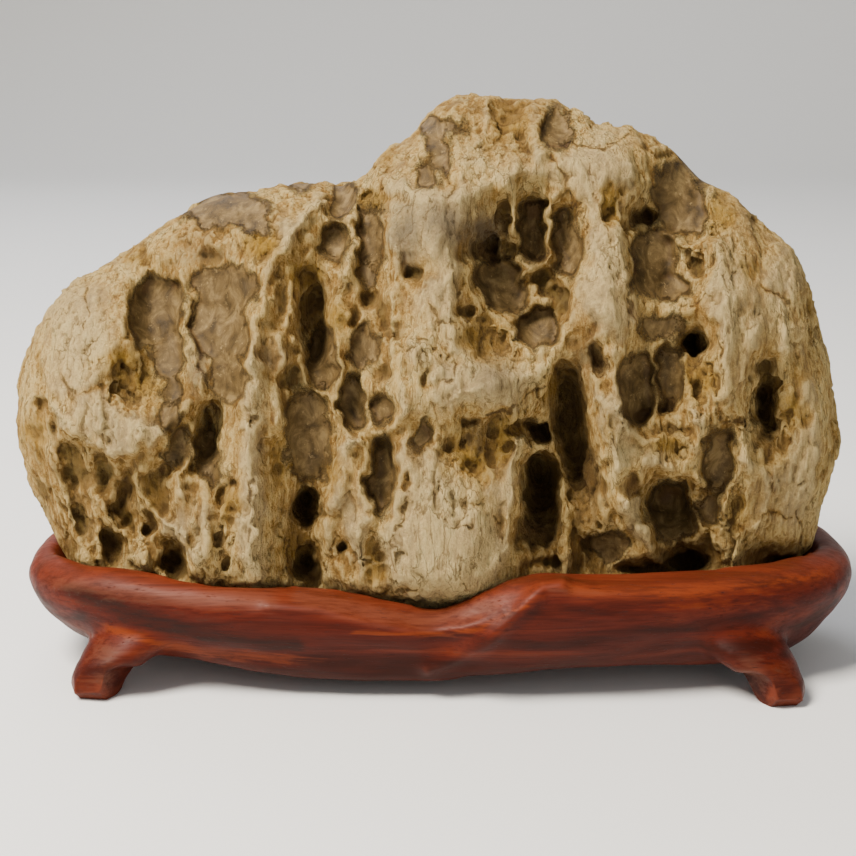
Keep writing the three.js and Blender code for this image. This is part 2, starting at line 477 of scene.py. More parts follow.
@dataclass(frozen=True)
class Hollow:
    """One worn hollow, seen square on.

    Attributes:
        u: Middle, across.
        v: Middle, up.
        half_u: Half width.
        half_v: Half height.
        lean: Degrees that the top leans to the right.
        depth: Depth in millimetres, measured into the stone.
        lining: What lies in it.
        wall: Share of the half width taken by the wall; a small one gives a flat floor.
        square: 2 for an ellipse, more for a squarer outline.
        drop: How much deeper the top is than the bottom, as a share of the depth.
    """

    u: float
    v: float
    half_u: float
    half_v: float
    lean: float
    depth: float
    lining: Lining
    wall: float = 0.42
    square: float = 2.2
    drop: float = 0.25

    def local(self, u: np.ndarray, v: np.ndarray) -> tuple[np.ndarray, np.ndarray]:
        """The reach from the middle, 1 at the edge, and the height from -1 to 1."""
        across, up = oval(self, u, v)
        reach = (np.abs(across) ** self.square + np.abs(up) ** self.square) ** (1 / self.square)
        return reach, up

    def near(self, u: np.ndarray, v: np.ndarray) -> np.ndarray:
        """Which points lie close enough to feel the hollow."""
        size = max(self.half_u, self.half_v) + SPREAD
        return np.nonzero((np.abs(u - self.u) < size) & (np.abs(v - self.v) < size))[0]

    def cut(self, reach: np.ndarray, height: np.ndarray) -> np.ndarray:
        """Depth of the floor at each reach and height."""
        floor = 1.0 - smooth_step(1.0 - self.wall, 1.02, reach)
        return self.depth * floor * (1.0 + self.drop * np.clip(height, -1, 1))


C, D, O, G, N = Lining.CHALCEDONY, Lining.DARK, Lining.OCHRE, Lining.OLIVE, Lining.CRUST

# The hollows of the front: across, up, half width, half height, lean, depth, lining, then options.
FRONT_HOLLOWS: tuple[Hollow, ...] = tuple(Hollow(*row) for row in (
    # dome
    (2, 193, 6.5, 5.5, 30, 3.0, C),
    (0.5, 198, 4, 3, 20, 2.0, G),
    (8, 194.5, 5, 3, 10, 2.0, C),
    (4, 185, 4.5, 7.5, -14, 3.2, C),
    (-1, 177, 5.5, 4.5, 30, 2.8, C),
    (-14, 184, 2.8, 4, 0, 1.6, O, 0.6),
    (-19, 181, 1.8, 1.8, 0, 1.6, D, 0.6),
    (29, 199, 4.8, 5.5, 0, 3.0, O, 0.45),
    (32.5, 188.5, 3, 4.6, 0, 3.2, O, 0.5),
    (27, 191, 2.2, 4, 10, 1.6, O, 0.6),
    (45.5, 194, 5.6, 9.5, 0, 3.4, C),
    (22, 184.5, 3, 5, 0, 0.7, N, 0.7),
    (-30.5, 168, 5.6, 8.5, 10, 3.5, C),
    (-33.5, 152, 5.8, 8.6, 4, 4.6, C, 0.36, 2.6),
    (-20.5, 154, 5.4, 13.5, 0, 3.4, C, 0.25, 2.8),
    (-21, 167.5, 4.6, 3.6, 0, 3.4, O, 0.5),
    (-22, 141, 4.4, 5, 0, 2.4, C, 0.4),
    (-12.5, 168, 3.6, 1.4, -20, 2.0, D, 0.7),
    (-42, 151, 2.4, 1.4, -10, 2.6, D, 0.6),
    (-5.5, 141.5, 4.9, 4.3, 0, 4.6, G, 0.5),
    # cluster under the brow
    (27.5, 162, 3.1, 6, 0, 4.6, O, 0.4),
    (37, 156, 5.4, 13, 0, 6.2, C, 0.4, 2.3, 0.7),
    (38, 164, 4.6, 4.6, 0, 8.5, D, 0.5),
    (50, 151, 6, 12.4, 0, 4.6, C, 0.4, 2.3, 0.35),
    (49.5, 162, 3.4, 4, 0, 5.0, C, 0.4),
    (27, 137.5, 9.2, 13.2, -30, 6.0, C, 0.34, 2.5, 0.4),
    (21, 150, 6.4, 6.2, 0, 9.5, D, 0.5),
    (30, 150.5, 4, 6, -40, 6.0, G, 0.5),
    (43.5, 137.5, 5.8, 9, -32, 4.6, G, 0.4),
    (40, 122, 9, 7, 0, 5.4, C, 0.26, 2.3, 0.5),
    (47.5, 130, 4.2, 8.5, 0, 4.6, G, 0.45),
    (20, 116, 10, 7, 0, 2.2, O, 0.4, 2.4),
    (13.5, 128, 3.2, 4.2, -20, 3.0, G, 0.5),
    (20, 124, 5.5, 2.2, -10, 2.2, G, 0.6),
    # long groove
    (-44, 141.5, 5.5, 4.5, 0, 2.6, O, 0.6),
    (-41.5, 128, 5.6, 13, 4, 4.0, D, 0.5, 2.4),
    (-38.5, 110, 5.6, 13, 0, 4.2, C, 0.3, 2.4),
    (-32, 135, 3.6, 6, 10, 3.2, G, 0.5),
    (-33, 122, 2.4, 6, 0, 1.8, O, 0.6),
    (-51, 104, 4.4, 6, 0, 3.6, G, 0.5),
    (-52.5, 133, 3.2, 10, 8, 2.4, G, 0.6),
    (-44, 80, 9.8, 20, -2, 2.6, C, 0.3, 2.6, -0.1),
    (-46.5, 53.5, 4.6, 7, 0, 6.0, D, 0.3, 3.4, 0.1),
    (-38.5, 51.5, 2.7, 4.2, 0, 3.8, G, 0.45),
    (-55, 69, 2.9, 10.5, 0, 2.6, O, 0.5),
    (-57, 79, 1.4, 1.8, 0, 2.4, D, 0.6),
    (-44.5, 29.5, 5.6, 7.6, -12, 8.0, D, 0.45),
    (-50, 41, 4, 5, 0, 3.0, O, 0.6),
    # middle mass
    (-22, 132, 5.4, 5.4, 10, 4.6, D, 0.5),
    (-27.5, 125.5, 2.8, 3, 0, 3.0, D, 0.6),
    (-16, 124, 2.8, 9, 0, 3.4, G, 0.5),
    (-24, 114, 6, 9.5, 10, 2.6, C, 0.4),
    (-17.5, 105, 3.6, 4.6, 0, 3.6, D, 0.5),
    (-11.5, 120, 1.8, 3, 0, 2.0, G, 0.6),
    (-27, 94, 5.8, 11.6, 0, 3.0, C, 0.25, 3.0),
    (-17, 91, 4.2, 8.4, 0, 3.6, C, 0.3),
    (-16.8, 64.5, 5.2, 16.8, 4, 5.6, C, 0.25, 2.4, 0.3),
    (-9, 63, 2, 5.4, 0, 2.4, G, 0.6),
    (-32.5, 36, 2.9, 6.8, -8, 5.0, G, 0.4),
    (-20.5, 36, 3.6, 5.6, 0, 2.6, G, 0.6),
    (-20, 27.5, 4.6, 4.6, 0, 2.0, O, 0.6),
    (-2.5, 81, 3.3, 8.6, 12, 2.6, C, 0.35),
    (-1, 103, 2.6, 4.8, 0, 3.4, G, 0.5),
    (15.5, 87, 3.6, 2.6, 0, 4.6, D, 0.5),
    (24, 84.5, 2.6, 6, 0, 3.6, G, 0.5),
    (9, 78.5, 3, 4.6, 0, 2.4, G, 0.5),
    (15, 68, 5, 3.6, -20, 2.8, O, 0.6),
    (13.5, 77, 1.9, 3, 0, 2.6, D, 0.6),
    (29, 79, 3, 8, 0, 1.8, O, 0.6),
    (0.5, 43, 1.0, 2.8, -14, 1.3, G, 0.7),
    (3, 29.5, 1.3, 2.8, 0, 1.5, G, 0.7),
    # cleft, doorway and the ledge under them
    (52.3, 91, 7.4, 20, -4, 5.0, D, 0.6, 1.6),
    (58, 68, 7.2, 22, -14, 5.0, D, 0.6, 2.2, 0.5),
    (39, 83, 7, 2.7, 22, 12.0, D, 0.4),
    (42.2, 60, 7.6, 15.6, 0, 6.4, D, 0.3, 2.6),
    (40.5, 45, 9, 6.5, 0, 7.0, D, 0.4),
    (44, 32, 9, 3.2, 0, 3.0, G, 0.5),
    (55, 44, 3.2, 5, 0, 2.0, O, 0.6),
    (62.5, 110, 4.4, 7.6, -6, 7.0, D, 0.45),
    # right of the cleft
    (75, 62.5, 5.2, 6.4, 0, 5.6, D, 0.4),
    (91, 52, 9.8, 14, -10, 5.4, C, 0.45, 2.3, 0.5),
    (90, 60, 7.6, 5.4, -20, 6.6, D, 0.5),
    (68.5, 39, 8, 7.6, 0, 3.2, C, 0.35),
    (60.5, 39, 3, 7, 0, 4.2, D, 0.5),
    (86, 28, 18, 3.6, 3, 8.0, D, 0.5),
    (98, 32, 9, 5, 0, 11.0, D, 0.4),
    (76.5, 99, 7.4, 15, 0, 3.6, C, 0.34, 2.6, -0.2),
    (78, 91, 5, 4.6, 0, 6.6, D, 0.5),
    (88.5, 103.5, 5.8, 13.6, 0, 3.4, C, 0.28, 2.8),
    (88, 93, 4.2, 3.6, 0, 4.4, D, 0.6),
    (88, 111, 2.6, 4, 0, 4.6, G, 0.5),
    (90, 83, 8.4, 2.3, 0, 3.2, G, 0.6),
    (91, 77, 5, 3, 0, 1.6, O, 0.7),
    (97, 115.5, 4.8, 6.4, 0, 10.0, D, 0.35),
    (96, 118, 6, 6, 0, 2.6, G, 0.6),
    (99, 102, 5, 8.6, -8, 2.4, O, 0.6),
    (84, 122, 9, 5.5, 0, 1.8, C, 0.4),
    # right shoulder
    (89.5, 167, 10.4, 15.4, -12, 4.2, C, 0.36, 2.7, 0.1),
    (81, 145, 9.0, 14.6, 6, 3.4, C, 0.4, 2.6, 0.3),
    (88, 137, 7.6, 6.4, 0, 4.4, C, 0.3),
    (77, 161.5, 4.8, 4.4, 0, 11.0, D, 0.5),
    (97, 145.5, 3.6, 4.2, 0, 3.6, G, 0.5),
    (65, 163, 2.6, 6.2, 0, 4.2, O, 0.5),
    (68, 159, 1.5, 2, 0, 2.6, O, 0.6),
    (64.5, 171, 3.4, 3.6, 0, 1.4, O, 0.7),
    (83, 183, 3.8, 3.4, 0, 3.0, G, 0.5),
    (104, 167.5, 2.7, 2.7, 0, 2.2, O, 0.6),
    (106, 161, 5, 5, 0, 0.9, O, 0.8),
    (73, 142.5, 2, 2.4, 0, 2.0, D, 0.6),
    # right boulder
    (138, 129.5, 2.8, 5.6, -10, 2.4, O, 0.5),
    (124.3, 93, 3.9, 14, -2, 9.0, D, 0.35, 2.4),
    (122.5, 106, 4.6, 6, 0, 3.4, G, 0.6),
    (133, 89, 3.8, 3.4, -20, 3.6, O, 0.5),
    (131.5, 78, 2.6, 5, -8, 1.6, G, 0.6),
    (107.5, 72, 5.8, 14.4, 0, 3.8, C, 0.26, 2.8, 0.3),
    (105, 53, 5.4, 5.8, 0, 3.4, C, 0.4),
    (114.6, 51.5, 2.8, 8.4, 0, 3.6, O, 0.5),
    (115, 47.5, 1.6, 3.2, 0, 3.4, D, 0.6),
    (132, 31, 7.2, 5.2, 0, 11.0, D, 0.4),
    (104, 40, 4, 4, 0, 2.2, G, 0.6),
    (147.5, 71, 2.2, 8.4, 0, 1.8, G, 0.6),
    (116, 142, 1.7, 6, 4, 1.4, G, 0.7),
    # left boulder, upper
    (-98, 128, 10.8, 15, 10, 3.2, C, 0.4, 2.5, 0.3),
    (-94.5, 112, 7.0, 12, 4, 3.0, C, 0.3),
    (-101, 137, 3.6, 4.6, -20, 4.2, D, 0.6),
    (-91, 137, 2.8, 3.6, 0, 4.0, D, 0.6),
    (-102, 149, 2.4, 6.4, 4, 2.4, O, 0.6),
    (-73, 136, 13, 10.5, 0, 1.5, C, 0.3, 2.8),
    (-75, 120, 12.2, 13, 0, 1.5, C, 0.3, 2.8),
    (-73.5, 103, 8.0, 10, -24, 1.4, C, 0.3),
    (-79, 147, 4.8, 3.4, 0, 2.0, G, 0.5),
    (-73, 165, 19, 7.4, 4, 1.4, C, 0.4),
    (-61, 160, 5, 4.6, 0, 1.8, C, 0.5),
    (-59.5, 155, 5, 4.2, 0, 1.0, O, 0.7),
    (-58, 148, 4, 2.5, 0, 3.0, O, 0.5),
    (-45, 173, 4, 3, 0, 1.8, C, 0.5),
    (-111.5, 102.5, 7, 6.8, 0, 3.2, O, 0.45),
    (-111.0, 107.5, 3.4, 2.0, 20, 3.4, D, 0.6),
    (-107.5, 94.5, 4.2, 4.6, 0, 3.0, G, 0.35),
    (-94.5, 98, 5, 9, 10, 2.2, C, 0.35),
    (-95.5, 88, 4.6, 6, 0, 2.2, C, 0.4),
    # left boulder, lower
    (-92.5, 76.5, 5.4, 9, 28, 3.8, C, 0.3, 2.2, 0.5),
    (-81, 75, 5.6, 15.2, -4, 3.8, C, 0.3, 2.2, 0.5),
    (-81, 89, 3.0, 3.4, 0, 4.6, D, 0.6),
    (-87, 70, 2.4, 4.8, 20, 2.2, G, 0.6),
    (-101, 59, 4.8, 9.6, -16, 3.2, O, 0.3),
    (-98.5, 67, 5, 3.4, -28, 5.0, D, 0.5),
    (-72.5, 63.5, 3.4, 3.4, 0, 4.4, D, 0.5),
    (-76, 58, 2.6, 7, 14, 3.0, O, 0.5),
    (-72.4, 51, 2.3, 6, -6, 3.0, O, 0.5),
    (-80, 42, 1.6, 3.4, 0, 2.4, D, 0.6),
    (-76, 32, 2.4, 4.4, 0, 3.0, D, 0.6),
    (-90, 40, 2.4, 5.6, 0, 1.8, G, 0.7),
    (-141.5, 92, 3, 4, 0, 3.4, D, 0.5),
    (-141.5, 107, 1.5, 10, 0, 1.5, O, 0.7),
    (-145, 82, 3.6, 5, 0, 2.2, O, 0.6),
    (-136.5, 83.5, 2.4, 6, -10, 3.0, D, 0.6),
    (-130.5, 71, 5.6, 12, -24, 4.6, G, 0.7),
    (-119.5, 67, 5.0, 9.0, -10, 4.6, G, 0.7),
    (-112.5, 60, 4.6, 12, 12, 5.2, D, 0.7),
    (-129.5, 46, 4.2, 12, -6, 4.4, G, 0.7),
    (-111, 49, 3.6, 6, 0, 4.0, O, 0.7),
    (-104.5, 46.5, 2.7, 8, 4, 5.0, D, 0.5),
    (-118.5, 37.5, 5.8, 10, -8, 6.5, D, 0.5),
    (-96, 29.5, 5.4, 7.6, -24, 9.0, D, 0.4),
    (-142.5, 60, 2.6, 7.4, -26, 2.4, G, 0.6),
    (-134, 36, 3, 6, -20, 2.0, G, 0.6),
))


@dataclass(frozen=True)
class Stroke:
    """A line on the drawing: a crack, a rib that stands proud, or a streak of colour.

    Attributes:
        path: Points across and up.
        width: Half width in millimetres.
        strength: Depth or height in millimetres, or 0 to 1 for a colour.
    """

    path: tuple[tuple[float, float], ...]
    width: float
    strength: float = 1.0

    def weight(self, u: np.ndarray, v: np.ndarray) -> np.ndarray:
        """Strength at each point of the drawing."""
        nearest = np.full(u.shape, 1e6)
        for (u0, v0), (u1, v1) in zip(self.path, self.path[1:]):
            du, dv = u1 - u0, v1 - v0
            t = np.clip(((u - u0) * du + (v - v0) * dv) / (du * du + dv * dv), 0, 1)
            nearest = np.minimum(nearest, np.hypot(u - u0 - t * du, v - v0 - t * dv))
        return self.strength * np.exp(-((nearest / self.width) ** 2))


# Cracks in the crust, with their depths in millimetres.
FISSURES: tuple[Stroke, ...] = tuple(Stroke(*row) for row in (
    (((2, 61), (2.5, 55), (5, 50), (10, 47), (16, 45), (16.5, 49)), 0.9, 2.0),
    (((5, 60), (8, 56), (14, 55), (21, 57)), 0.8, 1.4),
    (((-18, 19), (-12, 20.5), (-5, 21)), 0.8, 1.8),
    (((-2, 118), (5, 112), (9, 108), (10.5, 102), (4, 100)), 0.8, 1.5),
    (((0, 130), (3, 124), (10, 124)), 0.8, 1.2),
    (((22, 89), (29, 90), (36, 96), (43, 101)), 0.9, 1.8),
    (((120, 136), (126, 135), (130, 132), (132, 124)), 0.9, 2.0),
    (((109, 88), (114, 88), (118, 86)), 0.8, 2.0),
    (((124, 51), (130, 51.5), (136, 50)), 0.8, 1.7),
    (((-86, 131), (-84.5, 118), (-84, 106), (-80, 98), (-77, 92)), 0.9, 2.0),
    (((-129, 97), (-124, 97.5), (-119, 99)), 0.8, 1.8),
    (((-124, 109), (-118, 111)), 0.8, 1.4),
    (((-123, 136), (-124, 128), (-125, 121)), 0.8, 1.4),
    (((-134, 106), (-131, 101), (-131, 95)), 0.8, 1.0),
    (((-66, 66), (-66.5, 50), (-66, 33)), 0.8, 1.2),
    (((6, 178), (7, 170), (6.5, 165)), 0.8, 1.2),
    (((42, 188), (50, 187), (62, 187), (72, 190)), 0.8, 1.4),
    (((45, 184), (49, 172), (56, 160), (58, 152)), 0.8, 1.4),
    (((72, 152), (74, 141), (72, 131), (76, 120)), 0.8, 1.5),
    (((57, 184), (60, 172), (64, 152)), 0.8, 0.9),
    (((92, 130), (97, 131), (101, 134)), 0.8, 1.4),
    (((104, 118), (108, 106), (107, 98)), 0.8, 1.2),
    (((12, 33), (13, 27), (15, 21)), 0.8, 1.2),
    (((24, 52), (28, 42), (27, 32)), 0.8, 1.2),
    (((-8, 56), (-12, 46), (-12, 36)), 0.8, 0.9),
    (((126, 78), (127.5, 66), (128, 58)), 0.8, 1.4),
    (((138, 52), (139, 44), (141, 36)), 0.8, 1.4),
))


# Pale ribs and pillars that stand proud, with their heights in millimetres.
RIDGES: tuple[Stroke, ...] = tuple(Stroke(*row) for row in (
    # left boulder
    (((-39, 168), (-48, 156), (-57, 145), (-60.5, 130), (-63, 118), (-64, 108)), 2.6, 4.0),
    (((-64, 108), (-66, 92), (-67, 76), (-66, 52), (-66, 30)), 3.6, 3.4),
    (((-88.5, 142), (-87, 126), (-86, 108), (-81, 95)), 2.0, 3.4),
    (((-112, 150), (-109, 138), (-110, 124), (-104, 113)), 3.0, 2.0),
    (((-137, 90), (-125, 77), (-112, 77), (-100, 83), (-94, 88), (-88, 93)), 2.6, 3.4),
    (((-86, 85), (-87, 77), (-92, 66), (-92, 56)), 1.6, 3.0),
    (((-74, 84), (-72.5, 74), (-77, 67)), 2.0, 2.2),
    (((-107, 68), (-105, 58), (-97, 46), (-86, 30)), 2.6, 3.2),
    (((-122, 58), (-119, 49), (-111, 40), (-106, 30)), 2.2, 4.6),
    (((-138, 74), (-136, 58), (-132, 44), (-128, 32)), 2.6, 4.0),
    (((-126, 62), (-124, 50), (-123, 38)), 1.6, 2.6),
    (((-146, 96), (-146, 80), (-144, 66), (-138, 48)), 2.2, 2.2),
    (((-84, 62), (-83, 50), (-84, 34)), 2.4, 2.2),
    (((-86, 158), (-74, 154), (-64, 157)), 2.2, 1.6),
    # strips between the boulders
    (((-55, 118), (-53, 108), (-56, 96), (-55, 84)), 2.0, 3.2),
    (((-48, 118), (-46, 112), (-48, 104), (-44, 99), (-38, 97)), 1.4, 2.6),
    (((-29, 148), (-31.5, 136), (-33.5, 122), (-34, 106), (-33.5, 92), (-29, 78)), 2.0, 4.6),
    (((-27, 178), (-26, 164), (-28, 150), (-27, 140)), 1.8, 3.4),
    (((-38, 162), (-32, 160), (-26, 160)), 1.6, 2.0),
    (((-33, 76), (-24, 80), (-14, 82), (-9, 90)), 1.8, 2.6),
    (((-22, 102), (-22, 90), (-21, 83)), 1.1, 2.2),
    (((-13, 166), (-12, 148), (-11, 134), (-13, 120), (-12, 106), (-9, 92)), 2.2, 3.0),
    (((-29, 78), (-32, 62), (-38, 50), (-39, 36)), 2.4, 3.4),
    (((-24, 76), (-24, 62), (-22, 48), (-26, 40)), 1.8, 2.8),
    (((-9, 78), (-9.5, 64), (-13, 48), (-14, 34), (-12, 24)), 2.6, 2.6),
    (((-27, 46), (-26, 36), (-26, 26)), 1.8, 1.8),
    # brow, cluster and band
    (((-12, 172), (2, 169), (16, 170), (30, 176)), 3.4, 2.4),
    (((31, 172), (31.5, 160), (31.5, 150), (36, 143)), 1.5, 4.0),
    (((44, 170), (44, 158), (43, 149), (40, 143), (34, 139)), 1.3, 4.2),
    (((16, 144), (17, 134), (24, 124), (31, 120)), 2.0, 2.6),
    (((31, 118), (38, 113), (48, 116), (53, 126), (55, 140)), 2.2, 3.0),
    (((8, 150), (9, 136), (8, 124), (10, 112)), 2.4, 1.8),
    (((-5, 114), (2, 104), (14, 99), (28, 100), (40, 104), (50, 112)), 4.0, 3.0),
    (((20, 202), (21, 192), (18, 180)), 2.2, 1.6),
    (((37, 204), (37, 194), (39, 184)), 2.0, 2.4),
    (((10, 190), (13, 182), (10, 172)), 2.2, 1.8),
    # tongue, doorway and cleft
    (((32, 92), (33, 78), (32, 60), (30, 44), (26, 30)), 2.6, 3.0),
    (((47.5, 79), (49.5, 68), (51.5, 58), (53, 50), (51, 38), (52, 30)), 1.9, 5.0),
    (((34, 78), (40, 78), (46, 80)), 1.6, 3.4),
    (((19, 90), (20, 84), (19, 78)), 1.0, 2.2),
    (((60, 104), (63, 94), (66, 82), (71, 68), (77, 50), (84, 34)), 2.8, 4.2),
    (((69, 92), (74, 84), (82, 80), (92, 82), (99, 76)), 2.2, 3.4),
    (((80, 70), (77, 57), (80, 46), (83, 38)), 1.8, 3.2),
    (((82, 70), (92, 69), (101, 64)), 2.0, 3.0),
    # right shoulder and boulder
    (((84, 154.5), (90, 151), (96, 150.5), (100, 152.5)), 1.3, 3.6),
    (((83, 114), (82.5, 100), (83.5, 88)), 1.2, 2.6),
    (((69, 114), (68.5, 102), (70, 92)), 1.5, 2.8),
    (((93.5, 112), (93.5, 100), (96, 90), (101, 86)), 1.4, 2.8),
    (((72, 180), (71, 168), (69, 152), (72, 138), (74, 124)), 2.2, 2.6),
    (((91, 134), (96, 130), (102, 136)), 2.2, 1.8),
    (((101, 180), (101, 168), (104, 154), (106, 136), (108, 112)), 2.4, 2.0),
    (((101, 86), (101.5, 70), (99, 56), (102, 42)), 2.0, 3.4),
    (((114, 84), (115, 70), (113, 60), (110, 46)), 2.0, 3.0),
    (((118, 122), (117, 106), (118, 88), (119, 70)), 2.4, 2.6),
    (((130, 122), (130, 106), (128, 84)), 1.8, 2.2),
    (((124, 76), (126, 62), (124, 44)), 2.0, 2.0),
    (((140, 100), (143, 80), (142, 58)), 2.6, 2.0),
))


@dataclass(frozen=True)
class Patch:
    """A soft patch on the drawing: of colour, or of stone that swells out or sinks back.

    Attributes:
        u: Middle, across.
        v: Middle, up.
        half_u: Half width.
        half_v: Half height.
        strength: How strong it is: 0 to 1 for a colour, millimetres for a swell.
        lean: Degrees that the top leans to the right.
    """

    u: float
    v: float
    half_u: float
    half_v: float
    strength: float = 1.0
    lean: float = 0.0

    def weight(self, u: np.ndarray, v: np.ndarray) -> np.ndarray:
        """Strength at each point of the drawing."""
        across, up = oval(self, u, v)
        return self.strength * np.exp(-(across**2) - up**2)


SOOT: tuple[Patch, ...] = tuple(Patch(*row) for row in (
    (-8, 157, 6, 10), (6, 160, 12, 8), (19, 158, 8, 6), (-7, 148, 5, 5),
    (24, 104, 8, 9, 0.7), (12, 155, 12, 5, 0.8), (-84, 110, 2.5, 16, 0.9),
    (-62, 82, 3, 18, 0.5), (-58, 110, 4, 6, 0.5), (-17, 160, 4, 12, 0.3),
    (58, 110, 6, 8, 0.5), (60, 118, 5, 5, 0.4), (19, 80, 4, 8, 0.5),
    (-88, 48, 8, 8, 0.35), (36, 186, 5, 3, 0.4), (-82, 150, 10, 7, 0.4),
))
OCHRE_WASH: tuple[Patch, ...] = tuple(Patch(*row) for row in (
    (-111, 110, 8, 8, 0.7), (-104, 100, 7, 7, 0.7), (-102, 118, 5, 6, 0.6),
    (-60, 152, 8, 7, 0.8), (-44, 142, 8, 6, 0.8), (30, 195, 9, 10, 0.6),
    (65, 166, 5, 10, 0.7), (104, 163, 8, 9, 0.6), (114, 144, 8, 5, 0.45),
    (99, 103, 8, 12, 0.7), (16, 74, 13, 14, 0.7), (20, 118, 12, 9, 0.6),
    (-32, 66, 7, 10, 0.5), (-20, 28, 7, 7, 0.6), (-49, 38, 8, 8, 0.7),
    (-55, 70, 5, 14, 0.6), (-145, 82, 7, 10, 0.6), (-74, 55, 6, 10, 0.6),
    (-101, 60, 5, 9, 0.7), (28, 80, 6, 12, 0.7), (134, 92, 6, 10, 0.6),
    (136, 105, 7, 14, 0.35), (115, 52, 5, 10, 0.6), (-14, 184, 6, 6, 0.4),
    (-20, 168, 7, 5, 0.7), (55, 42, 5, 8, 0.6), (46, 100, 4, 8, 0.6),
    (66, 84, 5, 12, 0.5), (88, 78, 8, 6, 0.6), (-33, 124, 5, 10, 0.6),
    (76, 190, 6, 5, 0.5), (24, 186, 4, 6, 0.35), (-104, 148, 6, 6, 0.6),
))

# Where the crust is eaten into small irregular cells.
EATEN: tuple[Patch, ...] = tuple(Patch(*row) for row in (
    (-126, 58, 20, 20), (-106, 44, 14, 12), (-111, 101, 9, 9, 0.8),
    (-84, 52, 12, 12, 0.6), (-50, 36, 7, 12), (-56, 140, 8, 10, 0.7),
    (-60, 154, 10, 7, 0.7), (-74, 92, 8, 8, 0.5), (-24, 34, 12, 10, 0.8),
    (-34, 68, 7, 10, 0.6), (-17, 128, 7, 12, 0.6), (17, 78, 12, 12, 0.9),
    (2, 62, 10, 12, 0.5), (8, 154, 14, 7, 0.5), (43, 138, 7, 9, 0.8),
    (30, 194, 9, 9, 0.6), (-14, 184, 9, 6, 0.6), (50, 40, 16, 8, 0.9),
    (72, 84, 9, 7, 0.6), (92, 80, 12, 7, 0.8), (98, 103, 6, 11),
    (100, 150, 6, 12, 0.7), (66, 164, 5, 8, 0.5), (104, 48, 12, 14, 0.7),
    (132, 88, 8, 12, 0.8), (112, 44, 16, 10, 0.6), (80, 48, 8, 14, 0.5),
    (106, 88, 12, 6, 0.5), (134, 60, 10, 16, 0.4), (0, 98, 8, 12, 0.4),
    (84, 186, 8, 5, 0.5),
))

# How the front swells out and sinks back, in millimetres.
SWELLS: tuple[Patch, ...] = tuple(Patch(*row) for row in (
    # left boulder
    (-128, 116, 17, 28, 4.5), (-112, 83, 19, 8, 4.0, 8), (-129, 56, 19, 15, -4.5),
    (-80, 126, 19, 34, -5.0), (-101, 120, 10, 24, -2.0), (-66, 44, 6.5, 26, 4.5),
    (-88, 42, 13, 11, 3.0), (-84, 77, 13, 16, -2.2), (-62, 98, 6, 16, 2.5),
    (-92, 152, 16, 10, 2.0), (-56, 158, 12, 12, 2.5),
    # channel between the boulders, and the strip right of it
    (-43, 96, 9, 52, -1.2), (-47, 40, 6, 16, -3.0), (-20, 125, 9, 36, -3.5),
    (-23, 94, 11, 14, -3.0), (-26, 44, 13, 22, 3.0), (-17, 64, 8, 18, -1.5),
    # brow, band and tongue
    (0, 160, 18, 13, 4.5), (4, 136, 12, 16, 2.5), (-2, 110, 8, 18, 2.0),
    (20, 102, 25, 7, 4.5, 60), (6, 96, 22, 8, 3.0), (6, 36, 21, 24, 6.5),
    (4, 68, 18, 16, 3.5), (18, 78, 12, 12, -3.5), (34, 66, 7, 26, 3.0),
    (-14, 180, 16, 12, 2.0), (45, 180, 32, 9, 4.0), (70, 192, 16, 7, 2.0),
    # cluster under the brow, and the pillar right of it
    (34, 140, 19, 24, -2.8), (63, 142, 9, 36, 6.5, -6), (38, 108, 14, 6, 2.0),
    # cleft, doorway and the rib beside them
    (53, 86, 8, 32, -4.5), (42, 58, 10, 20, -3.0), (73, 66, 7, 24, 5.0, -12),
    (70, 86, 9, 8, 2.5), (86, 72, 10, 6, 3.0),
    # right shoulder and boulder
    (86, 156, 14, 26, -2.4, -6), (83, 104, 13, 17, -3.4), (93, 52, 14, 17, -3.0),
    (108, 126, 8, 34, 4.0), (124, 93, 7, 16, -3.5), (139, 62, 11, 30, 3.0),
    (108, 72, 7, 16, -3.0), (118, 62, 5, 26, 2.5), (128, 132, 9, 22, 3.5),
    (103, 88, 10, 7, 2.5), (60, 34, 14, 9, -4.0), (97, 30, 14, 8, -3.0),
))


# ---- The rock -----------------------------------------------------------------------------------


@dataclass(frozen=True)
class WornPit:
    """A hollow on the sides, top or back, cut square to the surface.

    Attributes:
        middle: Its mouth's middle, in millimetres.
        axis: Unit direction out of the stone.
        shape: The hollow in the plane across the axis.
        grip: How far from its mouth it may cut, in millimetres.
    """

    middle: tuple[float, float, float]
    axis: tuple[float, float, float]
    shape: Hollow
    grip: float = 16.0

    def local(self, points: np.ndarray) -> tuple[np.ndarray, np.ndarray, np.ndarray]:
        """Points near the pit, and their reach and height in it."""
        out = Vector(self.axis)
        across = Vector((0, 0, 1)).cross(out).normalized()
        up = out.cross(across)
        offset = points - np.array(self.middle)
        u, v, w = (offset @ np.array(d) for d in (across, up, out))
        near = self.shape.near(u, v)
        near = near[np.abs(w[near]) < self.grip]
        reach, height = self.shape.local(u[near], v[near])
        return near, reach, height


@dataclass(frozen=True)
class Lay:
    """What the crust and the hollows do at each vertex of the stone."""

    depth: np.ndarray
    lip: np.ndarray
    window: np.ndarray
    ochre: np.ndarray
    olive: np.ndarray
    dark: np.ndarray
    soot: np.ndarray
    eaten: np.ndarray
    crack: np.ndarray


